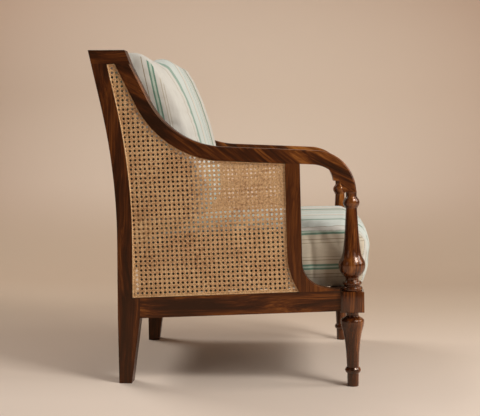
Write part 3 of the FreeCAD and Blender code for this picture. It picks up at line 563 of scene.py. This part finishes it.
def side_cane_outline():
    """The outer edge of the side cane's solid in the weave's own directions, along and square to the seat rail."""
    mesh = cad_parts["right_cane_panel"].data
    points = [side_plane(v.co) for v in mesh.vertices]
    face_y = max(p.y for p in points)
    counted = {}
    for polygon in mesh.polygons:
        corners = [points[i] for i in polygon.vertices]
        if any(abs(c.y - face_y) > FACE_TOLERANCE for c in corners):
            continue
        keys = [(round(c.x / MICRON), round(c.z / MICRON)) for c in corners]
        for a, b in zip(keys, keys[1:] + keys[:1]):
            counted[frozenset((a, b))] = counted.get(frozenset((a, b)), 0) + 1
    links = {}
    for pair, count in counted.items():
        if count == 1 and len(pair) == 2:
            a, b = pair
            links.setdefault(a, []).append(b)
            links.setdefault(b, []).append(a)
    loop = [min(links)]
    loop.append(links[loop[0]][0])
    while loop[-1] != loop[0]:
        loop.append(next(key for key in links[loop[-1]] if key != loop[-2]))
    cos, sin = math.cos(SEAT_SLOPE), math.sin(SEAT_SLOPE)
    places = [(x * MICRON, z * MICRON - DECK_HEIGHT) for x, z in loop]
    corners = [(x * cos + z * sin, z * cos - x * sin) for x, z in places]
    return list(zip(corners, corners[1:]))


def inset(corners, distance):
    """A closed outline drawn in by a distance, with mitred corners."""
    area = sum(a[0] * b[1] - b[0] * a[1] for a, b in zip(corners, corners[1:] + corners[:1]))
    turn = 1 if area > 0 else -1
    moved = []
    count = len(corners)
    for i in range(count):
        before, here, after = (Vector(corners[j % count]) for j in (i - 1, i, i + 1))
        first, second = (here - before).normalized(), (after - here).normalized()
        first_normal = Vector((-first.y, first.x)) * turn
        second_normal = Vector((-second.y, second.x)) * turn
        middle = (first_normal + second_normal).normalized()
        moved.append(here + middle * (distance / max(middle.dot(first_normal), MITRE_LIMIT)))
    return moved


BEAD_WIDTH = 0.0034
BEAD_PROUD = 0.0022
BEAD_CUTS = 6
BEAD_EDGE = GROOVE + 0.0003


def bead_mesh(name, corners, to_space, material):
    """A half-round reed laid along an outline. to_space(u, w, lift) places a point of the sheet."""
    rows = []
    for step in range(BEAD_CUTS + 1):
        angle = math.pi * step / BEAD_CUTS
        rows.append((inset(corners, BEAD_EDGE + BEAD_WIDTH / 2 * (1 - math.cos(angle))),
                     STRAND_THICKNESS + DIAGONAL_WAVE + BEAD_PROUD * math.sin(angle)))
    rows += [(inset(corners, BEAD_EDGE + width), -STRAND_THICKNESS) for width in (BEAD_WIDTH, 0)]
    count = len(corners)
    vertices = [to_space(u, w, lift) for points, lift in rows for u, w in points]
    faces = []
    for k in range(len(rows)):
        m = (k + 1) % len(rows)
        for i in range(count):
            j = (i + 1) % count
            faces.append((k * count + i, k * count + j, m * count + j, m * count + i))
    return listed_object(name, vertices, faces, material, "frame")


def side_cane(material, reed):
    """The woven sheets and the reeds of both sides, in the places of their solids."""
    segments = side_cane_outline()
    corners = [start for start, _ in segments]
    cos, sin = math.cos(SEAT_SLOPE), math.sin(SEAT_SLOPE)
    for mirror, side in ((False, "right"), (True, "left")):
        def to_space(u, w, lift):
            return side_place(u * cos - w * sin, SHEET_MIDDLE - lift, w * cos + u * sin + DECK_HEIGHT, mirror)
        vertices, faces = weave(segments, to_space)
        woven = listed_object(side + "_woven_cane", vertices, faces, material, "frame")
        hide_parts(side + "_cane_panel")
        bead = bead_mesh(side + "_reed_bead", corners, to_space, reed)
        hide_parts(side + "_cane_bead")


def back_profile(run, depth):
    """The point and rearward direction of the back's curve, this far up it and in from the posts' backs."""
    low = BEND_HEIGHT - BEND_RADIUS * math.tan(RAKE / 2)
    radius = BEND_RADIUS + depth
    turn = min(max((run - low) / radius, 0), RAKE)
    x = -LEG_BACK - BEND_RADIUS + radius * math.cos(turn)
    z = low + radius * math.sin(turn)
    rest = run - low - radius * turn if turn in (0, RAKE) else 0
    return Vector((x - rest * math.sin(turn), 0, z + rest * math.cos(turn))), \
        Vector((-math.cos(turn), 0, -math.sin(turn)))


BACK_CANE_STEPS = 40
RUN_STEP = 0.0005


def back_cane(material):
    """The woven sheet of the back, along its curve."""
    high = BACK_CANE_LOW
    while back_profile(high, BACK_CANE_DEPTH)[0].z < BACK_CANE_HIGH:
        high += RUN_STEP
    edge = []
    for i in range(BACK_CANE_STEPS + 1):
        run = BACK_CANE_LOW + (high - BACK_CANE_LOW) * i / BACK_CANE_STEPS
        x = back_profile(run, BACK_CANE_DEPTH)[0].x
        edge.append((SIDE_OFFSET + x * math.tan(TOE_OUT) - (FRAME_HALF - GROOVE) / math.cos(TOE_OUT), run))
    loop = edge + [(-u, w) for u, w in reversed(edge)]
    segments = list(zip(loop, loop[1:] + loop[:1]))

    def to_space(u, w, lift):
        point, rearward = back_profile(w, BACK_CANE_DEPTH)
        return Vector((point.x, u, point.z)) + rearward * lift
    vertices, faces = weave(segments, to_space)
    woven = listed_object("back_woven_cane", vertices, faces, material, "frame")
    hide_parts("back_cane_panel")


# ---------------------------------------------------------------- cushions
VOXEL = 0.0065
SIM_FRAMES = 20
DRAWN_IN = 0.004        # how much smaller the cloth starts, so that it has room to swell
LARGEST_MOVE = 0.016
PROUD = 0.004           # how far the cloth may stand off the reshaped solid
SEAM_REACH = 0.004
SEWN_SPACING = 0.004
EASE_REACH = 0.035
SHARP_DEG = 38
SIDE_FACING = 0.75      # the share of a side's normal that points sideways
CLOTH = {"quality": 4, "mass": 0.25, "tension_stiffness": 12, "compression_stiffness": 10, "shear_stiffness": 6,
         "bending_stiffness": 0.6, "use_pressure": True, "uniform_pressure_force": 4.0, "shrink_min": -0.02,
         "vertex_group_mass": "seam", "pin_stiffness": 0.8}


def apply_modifiers(obj):
    graph = bpy.context.evaluated_depsgraph_get()
    mesh = bpy.data.meshes.new_from_object(obj.evaluated_get(graph))
    obj.modifiers.clear()
    obj.data = mesh


def point_tree(points):
    tree = KDTree(len(points))
    for i, point in enumerate(points):
        tree.insert(point, i)
    tree.balance()
    return tree


def merged_solid(node):
    """A CAD solid as a bmesh whose faces share their corners."""
    bm = bmesh.new()
    bm.from_mesh(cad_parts[node].data)
    bmesh.ops.remove_doubles(bm, verts=bm.verts, dist=MERGE_DISTANCE)
    bm.normal_update()
    return bm


def sharp_points(bm):
    """Points along the solid's own sharp edges, where the cushion is sewn."""
    found = []
    for edge in bm.edges:
        if len(edge.link_faces) == 2 and edge.calc_face_angle() > math.radians(SHARP_DEG):
            a, b = edge.verts[0].co, edge.verts[1].co
            count = max(1, math.ceil((b - a).length / SEWN_SPACING))
            found += [a.lerp(b, i / count) for i in range(count + 1)]
    return found


def blow_up(obj, seams):
    """Runs the mesh as cloth under pressure, with its seams held."""
    group = obj.vertex_groups.new(name="seam")
    for vert in obj.data.vertices:
        if seams.find(vert.co)[2] < DRAWN_IN + SEAM_REACH:
            group.add([vert.index], 1.0, "REPLACE")
    modifier = obj.modifiers.new("cloth", "CLOTH")
    for key, value in CLOTH.items():
        setattr(modifier.settings, key, value)
    modifier.settings.effector_weights.gravity = 0
    modifier.collision_settings.use_collision = False
    modifier.point_cache.frame_start = 1
    modifier.point_cache.frame_end = SIM_FRAMES
    for number in range(1, SIM_FRAMES + 1):
        scene.frame_set(number)
    apply_modifiers(obj)
    scene.frame_set(1)


def keep_near(obj, start, solid):
    """Limits how far each vertex has moved from its start and how far it stands off the solid."""
    for vert, first in zip(obj.data.vertices, start):
        move = vert.co - first
        if move.length > LARGEST_MOVE:
            vert.co = first + move * (LARGEST_MOVE / move.length)
        point, normal, _, _ = solid.find_nearest(vert.co)
        height = (vert.co - point).dot(normal)
        if height > PROUD:
            vert.co -= normal * (height - PROUD)


def ease_seams(obj, seams, rounds):
    """Softens the form near its seams."""
    group = obj.vertex_groups.new(name="ease")
    for vert in obj.data.vertices:
        weight = 1 - seams.find(vert.co)[2] / EASE_REACH
        if weight > 0:
            group.add([vert.index], weight, "REPLACE")
    ease = obj.modifiers.new("ease", "SMOOTH")
    ease.vertex_group = "ease"
    ease.iterations = rounds
    apply_modifiers(obj)
    obj.vertex_groups.clear()


def surface_tree(mesh):
    return BVHTree.FromPolygons([v.co for v in mesh.vertices], [p.vertices for p in mesh.polygons])


def push(mesh, distance):
    """Moves every vertex against its normal, by distance(vertex)."""
    for vert, normal in [(v, v.normal.copy()) for v in mesh.vertices]:
        vert.co -= normal * distance(vert)


def swollen(node, name, reshape, easing):
    """A padded copy of a soft solid: remeshed, drawn in, blown up as cloth with its seams held, and smoothed.

    The attribute rest keeps each vertex's place on the unshaped solid."""
    bm = merged_solid(node)
    seams = point_tree([reshape(point) for point in sharp_points(bm)])
    mesh = bpy.data.meshes.new(name)
    bm.to_mesh(mesh)
    bm.free()
    obj = bpy.data.objects.new(name, mesh)
    scene.collection.objects.link(obj)
    remesh = obj.modifiers.new("remesh", "REMESH")
    remesh.mode = "VOXEL"
    remesh.voxel_size = VOXEL
    apply_modifiers(obj)
    rest = obj.data.attributes.new("rest", "FLOAT_VECTOR", "POINT")
    for vert in obj.data.vertices:
        rest.data[vert.index].vector = vert.co
        vert.co = reshape(vert.co)
    solid = surface_tree(obj.data)
    smooth = obj.modifiers.new("smooth", "SMOOTH")
    smooth.iterations = 4
    apply_modifiers(obj)
    push(obj.data, lambda vert: DRAWN_IN)
    start = [v.co.copy() for v in obj.data.vertices]
    blow_up(obj, seams)
    keep_near(obj, start, solid)
    obj.vertex_groups.clear()
    if easing:
        ease_seams(obj, seams, easing)
    subdivision = obj.modifiers.new("subdivision", "SUBSURF")
    subdivision.levels = subdivision.render_levels = 1
    apply_modifiers(obj)
    return obj


def gusset_seams(node, spacing):
    """Evenly spaced points, with their direction, where the solid's two sides meet its other faces."""
    bm = merged_solid(node)
    links = {}
    for edge in bm.edges:
        if len(edge.link_faces) == 2:
            first, second = (abs(face.normal.y) > SIDE_FACING for face in edge.link_faces)
            if first != second:
                a, b = edge.verts
                links.setdefault(a.index, []).append(b.index)
                links.setdefault(b.index, []).append(a.index)
    places = [v.co.copy() for v in bm.verts]
    bm.free()
    found = []
    left = set(links)
    while left:
        chain = [min(left)]
        left.discard(chain[0])
        while True:
            after = [k for k in links[chain[-1]] if k in left]
            if not after:
                break
            chain.append(after[0])
            left.discard(after[0])
        points = [places[k] for k in chain] + [places[chain[0]]]
        spare = 0.0
        for a, b in zip(points, points[1:]):
            length = (b - a).length
            while spare < length:
                found.append((a.lerp(b, spare / length), (b - a).normalized()))
                spare += spacing
            spare -= length
    return found


def dress_cushion(obj, node, cloth, across, rise, along):
    """Writes what the cloth follows: distances across, up and along it, and how far inside a gusset it lies."""
    bm = bmesh.new()
    bm.from_mesh(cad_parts[node].data)
    bm.normal_update()
    solid = BVHTree.FromBMesh(bm)
    bm.free()
    seams = point_tree([point for point, _ in gusset_seams(node, 0.002)])
    mesh = obj.data
    side = []
    for item in mesh.attributes["rest"].data:
        place = Vector(item.vector)
        distance = seams.find(place)[2]
        side.append(distance if abs(solid.find_nearest(place)[1].y) > SIDE_FACING else -distance)
    for key, numbers in (("across", across), ("rise", rise), ("side", side), ("along", along)):
        attribute = mesh.attributes.new(key, "FLOAT", "POINT")
        attribute.data.foreach_set("value", numbers)
    mesh.attributes.remove(mesh.attributes["rest"])
    mesh.materials.clear()
    mesh.materials.append(cloth)
    mesh.shade_smooth()


SEAM_DEPTH = 0.0016
SEAM_WIDTH = 0.0048
STITCH_SPACING = 0.0056
STITCH_HALF_LENGTH = 0.0019
STITCH_HALF_WIDTH = 0.0006
STITCH_HALF_HEIGHT = 0.0005
STITCH_LIFT = 0.0002
STITCH_CUTS = 5
# How far along a stitch each of its rings lies, and the ring's share of its girth
STITCH_RINGS = ((-1.0, 0.35), (-0.6, 1.0), (0.6, 1.0), (1.0, 0.35))


def sew(obj, node, reshape, thread_material):
    """Draws the cloth in along the gusset seams and lays a row of short stitches on them."""
    seams = point_tree([reshape(point) for point, _ in gusset_seams(node, 0.003)])
    push(obj.data, lambda vert: SEAM_DEPTH * math.exp(-(seams.find(vert.co)[2] / SEAM_WIDTH) ** 2))
    surface = surface_tree(obj.data)
    vertices, faces = [], []
    for point, direction in gusset_seams(node, STITCH_SPACING):
        place, normal, _, _ = surface.find_nearest(reshape(point))
        along = (direction - normal * direction.dot(normal)).normalized()
        across = normal.cross(along)
        base = len(vertices)
        for step, girth in STITCH_RINGS:
            for k in range(STITCH_CUTS):
                angle = 2 * math.pi * k / STITCH_CUTS
                lift = STITCH_LIFT + STITCH_HALF_HEIGHT * girth * math.sin(angle)
                vertices.append(place + along * STITCH_HALF_LENGTH * step + normal * lift
                                + across * STITCH_HALF_WIDTH * girth * math.cos(angle))
        rings = [list(range(base + STITCH_CUTS * i, base + STITCH_CUTS * (i + 1)))
                 for i in range(len(STITCH_RINGS))]
        for low, high in zip(rings, rings[1:]):
            for k in range(STITCH_CUTS):
                m = (k + 1) % STITCH_CUTS
                faces.append((low[k], low[m], high[m], high[k]))
        faces += [tuple(rings[0]), tuple(rings[-1])]
    listed_object(obj.name + "_stitches", vertices, faces, thread_material, node)


def deck_point(s, y, h):
    """A point given along the deck, across the chair and square to the deck."""
    return Vector((s * math.cos(SEAT_SLOPE) - h * math.sin(SEAT_SLOPE), y,
                   s * math.sin(SEAT_SLOPE) + h * math.cos(SEAT_SLOPE) + DECK_HEIGHT))


def deck_place(co):
    """The reverse of deck_point."""
    z = co.z - DECK_HEIGHT
    return (co.x * math.cos(SEAT_SLOPE) + z * math.sin(SEAT_SLOPE), co.y,
            z * math.cos(SEAT_SLOPE) - co.x * math.sin(SEAT_SLOPE))


SEAT_LIFT = 1.045
SEAT_EDGE_LIFT = 0.055
SEAT_HALF = 0.285
SEAT_CLEARANCE = 0.0012
# Where the stripes' repeats start, across each cushion's panels and up its gussets
SEAT_PANEL_SHIFT, SEAT_GUSSET_SHIFT = 0.172, 0.0865
BACK_PANEL_SHIFT, BACK_GUSSET_SHIFT = 0.186, 0.1235
BACK_EASING = 30


def fuller_seat(co):
    """Fills the seat cushion's top and upper front, and rounds its front edges."""
    s, y, h = deck_place(co)
    h *= SEAT_LIFT + SEAT_EDGE_LIFT * min(1.0, abs(y) / SEAT_HALF) ** 2
    front = share(s, 0.28, 0.37)
    s += front * (0.003 + 0.008 * share(h, 0.06, 0.12) * (1 - share(h, 0.165, 0.200)))
    s -= front * (0.010 * (1 - share(h, 0.0, 0.035)) + 0.013 * share(abs(y), 0.17, 0.275))
    return deck_point(s, y, h)


def seat_cushion(cloth, stitch):
    """The boxed seat cushion: flat on the slats, sewn along its gussets."""
    obj = swollen("seat_cushion", "striped_seat_cushion", fuller_seat, 0)
    for vert in obj.data.vertices:
        s, y, h = deck_place(vert.co)
        h -= 0.006 * (1 - share(h, 0.0, 0.03))
        vert.co = deck_point(s, y, max(h, SEAT_CLEARANCE))
    sew(obj, "seat_cushion", fuller_seat, stitch)
    places = [deck_place(v.co) for v in obj.data.vertices]
    near = min(y for _, y, _ in places)
    dress_cushion(obj, "seat_cushion", cloth, [y - near + SEAT_PANEL_SHIFT for _, y, _ in places],
                  [h + SEAT_GUSSET_SHIFT for _, _, h in places], [s - h for s, _, h in places])
    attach(obj, "seat_cushion")
    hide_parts("seat_cushion")


def eared_back(co):
    """Lets the back cushion's top fall forward at its corners and back along its middle, like ears."""
    side = share(abs(co.y), 0.15, 0.25)
    top = share(co.z, 0.76, 0.90)
    rise = 0.008 * side * (1 - share(co.x, -0.270, -0.225)) - 0.026 * side * share(co.x, -0.262, -0.190)
    crown = 0.009 * math.exp(-((co.x + 0.178) / 0.022) ** 2)
    rise += (1 - side) * (crown - 0.024 * (1 - share(co.x, -0.240, -0.190)))
    return Vector((co.x, co.y, co.z + rise * top))


def back_wall(z):
    """Where the back's curve stands behind the back cushion at a height."""
    run = z
    for _ in range(3):
        run += z - back_profile(run, BACK_CUSHION_DEPTH)[0].z
    return back_profile(run, BACK_CUSHION_DEPTH)[0].x


def back_cushion(cloth):
    """The plump back cushion, with softer seams and a dented top."""
    obj = swollen("back_cushion", "striped_back_cushion", eared_back, BACK_EASING)
    places = [v.co for v in obj.data.vertices]
    near = min(place.y for place in places)
    dress_cushion(obj, "back_cushion", cloth, [place.y - near + BACK_PANEL_SHIFT for place in places],
                  [place.x - back_wall(place.z) + BACK_GUSSET_SHIFT for place in places],
                  [place.z for place in places])
    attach(obj, "back_cushion")
    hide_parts("back_cushion")


# ---------------------------------------------------------------- small hardware
SCREW_RADIUS = 0.0042
SCREW_CUTS = 20
SCREW_RECESS = 0.0004
# Share of the head's radius, and height above the slat
SCREW_RINGS = ((1.0, 0.0), (1.0, 0.0005), (0.86, 0.0011), (0.4, 0.0013))
SCREW_FROM_END = 0.012
SCREW_FROM_MIDDLE = 0.014


def screw_head(bm, s, y):
    """A countersunk screw head with a cross recess, facing up from the deck."""
    loops = []
    for part, h in SCREW_RINGS:
        loop = []
        for i in range(SCREW_CUTS):
            angle = 2 * math.pi * i / SCREW_CUTS
            pull = 0.55 if part < 0.5 and i % 5 == 0 else 1.0
            r = SCREW_RADIUS * part * pull
            loop.append(bm.verts.new(deck_point(s + r * math.cos(angle), y + r * math.sin(angle), h)))
        loops.append(loop)
    for a, b in zip(loops, loops[1:]):
        for i in range(SCREW_CUTS):
            j = (i + 1) % SCREW_CUTS
            bm.faces.new((a[i], a[j], b[j], b[i]))
    middle = bm.verts.new(deck_point(s, y, SCREW_RECESS))
    for i in range(SCREW_CUTS):
        bm.faces.new((loops[-1][i], loops[-1][(i + 1) % SCREW_CUTS], middle))
    bm.faces.new(list(reversed(loops[0])))


def slat_screws(material):
    """Two screws through each end of every slat."""
    bm = bmesh.new()
    for i in range(1, SLAT_COUNT + 1):
        low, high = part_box("seat_slat_%d" % i)
        middle = deck_place((low + high) / 2)[0]
        for side in (-1, 1):
            for step in (-SCREW_FROM_MIDDLE, SCREW_FROM_MIDDLE):
                screw_head(bm, middle + step, side * (high.y - SCREW_FROM_END))
    bmesh_object("slat_screws", bm, material, "frame", 30)


# ---------------------------------------------------------------- stage, light and camera
def backdrop_material(name):
    """A seamless paper sweep with painted light: palest behind the chair, darker towards the wall's edges and from
    the floor's front towards the wall. Its back is clear, so that other views see through it.
    """
    n = Nodes(name)
    x, y, z = n.parts(n.coordinates())
    # Painted light: the floor is lightest at the front and darker towards the wall.
    floor = n.ramp(n.math("DIVIDE", n.plus(y, 1.0), 3.5),
                   [(0.0, colour(230, 213, 197)), (0.13, colour(227, 210, 194)), (0.35, colour(215, 197, 179)),
                    (0.58, colour(203, 183, 161)), (0.80, colour(200, 178, 155))])
    # Painted light: the wall is lightest behind the chair and darker towards its edges.
    wide = n.math("POWER", n.math("DIVIDE", n.plus(x, 0.1), 1.84), 2.0)
    tall = n.math("POWER", n.math("DIVIDE", n.math("SUBTRACT", z, 0.75), 1.09), 2.0)
    wall = n.ramp(n.plus(wide, tall), [(0.0, colour(231, 213, 194)), (1.0, colour(190, 161, 139))])
    up = n.ramp(z, [(0.06, (0, 0, 0, 1)), (0.45, (1, 1, 1, 1))], "EASE")
    n.shade({"Base Color": n.mix(up, floor, wall), "Roughness": 0.9})
    clear = n.add("ShaderNodeBsdfTransparent")
    geometry = n.add("ShaderNodeNewGeometry")
    mixer = n.add("ShaderNodeMixShader")
    n.put(mixer.inputs[0], geometry.outputs["Backfacing"])
    n.put(mixer.inputs[1], n.shader.outputs[0])
    n.put(mixer.inputs[2], clear.outputs[0])
    n.put(n.out.inputs["Surface"], mixer.outputs[0])
    return n.material


def stage():
    half_width, near, far, top, bend, cuts = 9.0, -7.0, 2.5, 4.5, 0.9, 16
    profile = [(near, 0.0), (far - bend, 0.0)]
    for i in range(1, cuts + 1):
        angle = math.pi / 2 * i / cuts
        profile.append((far - bend + bend * math.sin(angle), bend - bend * math.cos(angle)))
    profile.append((far, top))
    vertices = [(x, y, z) for y, z in profile for x in (-half_width, half_width)]
    faces = [(2 * i, 2 * i + 1, 2 * i + 3, 2 * i + 2) for i in range(len(profile) - 1)]
    mesh = bpy.data.meshes.new("sweep")
    mesh.from_pydata(vertices, [], faces)
    mesh.shade_smooth()
    sweep = bpy.data.objects.new("sweep", mesh)
    scene.collection.objects.link(sweep)
    mesh.materials.append(backdrop_material("sweep_paper"))


LIGHT_TARGET = Vector((0.0, 0.0, 0.4))
WARM_LAMP = (1.0, 0.99, 0.97)
PALE_LAMP = (1.0, 0.99, 0.98)
# Place, width and height, power and colour
LAMPS = {
    "key": ((2.3, -1.95, 2.8), (1.2, 1.2), 90, WARM_LAMP),
    "right": ((3.0, -0.4, 1.9), (1.2, 1.6), 34, WARM_LAMP),
    "front": ((2.0, -2.8, 1.9), (1.4, 1.6), 12, PALE_LAMP),
    "behind": ((-1.9, 1.4, 3.0), (1.4, 1.4), 50, WARM_LAMP),
    "fill": ((-2.4, -2.8, 1.8), (1.0, 1.8), 4, PALE_LAMP),
}


def lamps():
    """Soft square lamps, all turned to the middle of the chair."""
    for name, (place, size, power, tone) in LAMPS.items():
        data = bpy.data.lights.new(name, "AREA")
        data.shape = "RECTANGLE"
        data.size, data.size_y = size
        data.energy = power
        data.color = tone
        light = bpy.data.objects.new(name, data)
        light.location = place
        light.rotation_euler = (LIGHT_TARGET - Vector(place)).to_track_quat("-Z", "Y").to_euler()
        scene.collection.objects.link(light)


def room():
    """A dim warm room, which the camera sees as the paper's colour."""
    world = bpy.data.worlds.new("room")
    scene.world = world
    world.use_nodes = True
    nodes, link = world.node_tree.nodes, world.node_tree.links.new
    background = nodes["Background"]
    background.inputs["Color"].default_value = colour(212, 174, 142)
    background.inputs["Strength"].default_value = 0.12
    seen = nodes.new("ShaderNodeBackground")
    seen.inputs["Color"].default_value = colour(203, 179, 156)
    chooser = nodes.new("ShaderNodeMixShader")
    link(nodes.new("ShaderNodeLightPath").outputs["Is Camera Ray"], chooser.inputs[0])
    link(background.outputs[0], chooser.inputs[1])
    link(seen.outputs[0], chooser.inputs[2])
    link(chooser.outputs[0], nodes["World Output"].inputs["Surface"])


def camera():
    data = bpy.data.cameras.new("camera")
    data.sensor_width = SENSOR_WIDTH
    data.lens = FOCAL_PIXELS / IMAGE_WIDTH * SENSOR_WIDTH
    obj = bpy.data.objects.new("camera", data)
    scene.collection.objects.link(obj)
    obj.location = CAMERA_PLACE
    look = Vector((math.sin(CAMERA_YAW) * math.cos(CAMERA_PITCH),
                   math.cos(CAMERA_YAW) * math.cos(CAMERA_PITCH), -math.sin(CAMERA_PITCH)))
    obj.rotation_mode = "QUATERNION"
    obj.rotation_quaternion = look.to_track_quat("-Z", "Y")
    scene.camera = obj


def dress(node, material):
    """Gives a CAD node that stays in view its material."""
    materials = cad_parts[node].data.materials
    materials.clear()
    materials.append(material)


# Grain, lightness and how strongly the figure shows
WOOD_PIECES = {
    "rear_leg": ("upright", -0.06, 0.9), "top_cap": ("forward", -0.06, 0.9), "arm_rear": ("swept", -0.04, 1.15),
    "arm_front": ("falling", 0.05, 1.25), "arm_support": ("upright", -0.005, 0.7),
    "side_rail": ("forward", -0.045, 1.15), "seat_cleat": ("forward", 0.0, 0.8),
    "rear_corner_block": ("across", 0.0, 0.8), "front_corner_block": ("across", 0.0, 0.8),
}
CROSS_PIECES = {"front_rail": -0.02, "rear_rail": -0.05, "crest_rail": -0.04, "lower_back_rail": -0.03}


def dress_woods():
    """Every wooden piece gets its own figure, because the seed moves the pattern."""
    seed = 1
    for side in ("right", "left"):
        for piece, (grain, lightness, contrast) in WOOD_PIECES.items():
            dress(side + "_" + piece, wood("wood_%s_%s" % (side, piece), grain, seed, lightness, contrast))
            seed += 1
    for piece, lightness in CROSS_PIECES.items():
        dress(piece, wood("wood_" + piece, "across", seed, lightness))
        seed += 1
    for i in range(1, SLAT_COUNT + 1):
        dress("seat_slat_%d" % i, deck_wood("slat_wood_%d" % i, i))
    dress("scarf_tongues", wood("wood_scarf_tongues", "forward", seed))
    dress("cap_tongues", wood("wood_cap_tongues", "upright", seed + 1))
    front_posts({side: wood("wood_%s_post" % side, "upright", post_seed, lightness=-0.01, contrast=1.1,
                            gloss=0.14, polish=0.5) for side, post_seed in (("right", seed + 2), ("left", seed + 3))})


def main():
    camera()
    lamps()
    room()
    stage()
    dress_woods()
    reed = cane("reed", 0.05)
    dress("back_cane_bead", reed)
    woven = cane("woven_cane")
    side_cane(woven, reed)
    back_cane(woven)
    seat_cloth = striped_cloth("striped_seat_cloth", PANEL_STRIPES, GUSSET_STRIPES, 0.5)
    back_cloth = striped_cloth("striped_back_cloth", BACK_STRIPES, BACK_GUSSET_STRIPES, 0.0)
    seat_cushion(seat_cloth, thread("stitch_thread", colour(120, 142, 128)))
    back_cushion(back_cloth)
    slat_screws(steel("screw_steel"))
    scene.view_settings.view_transform = "Standard"


main()
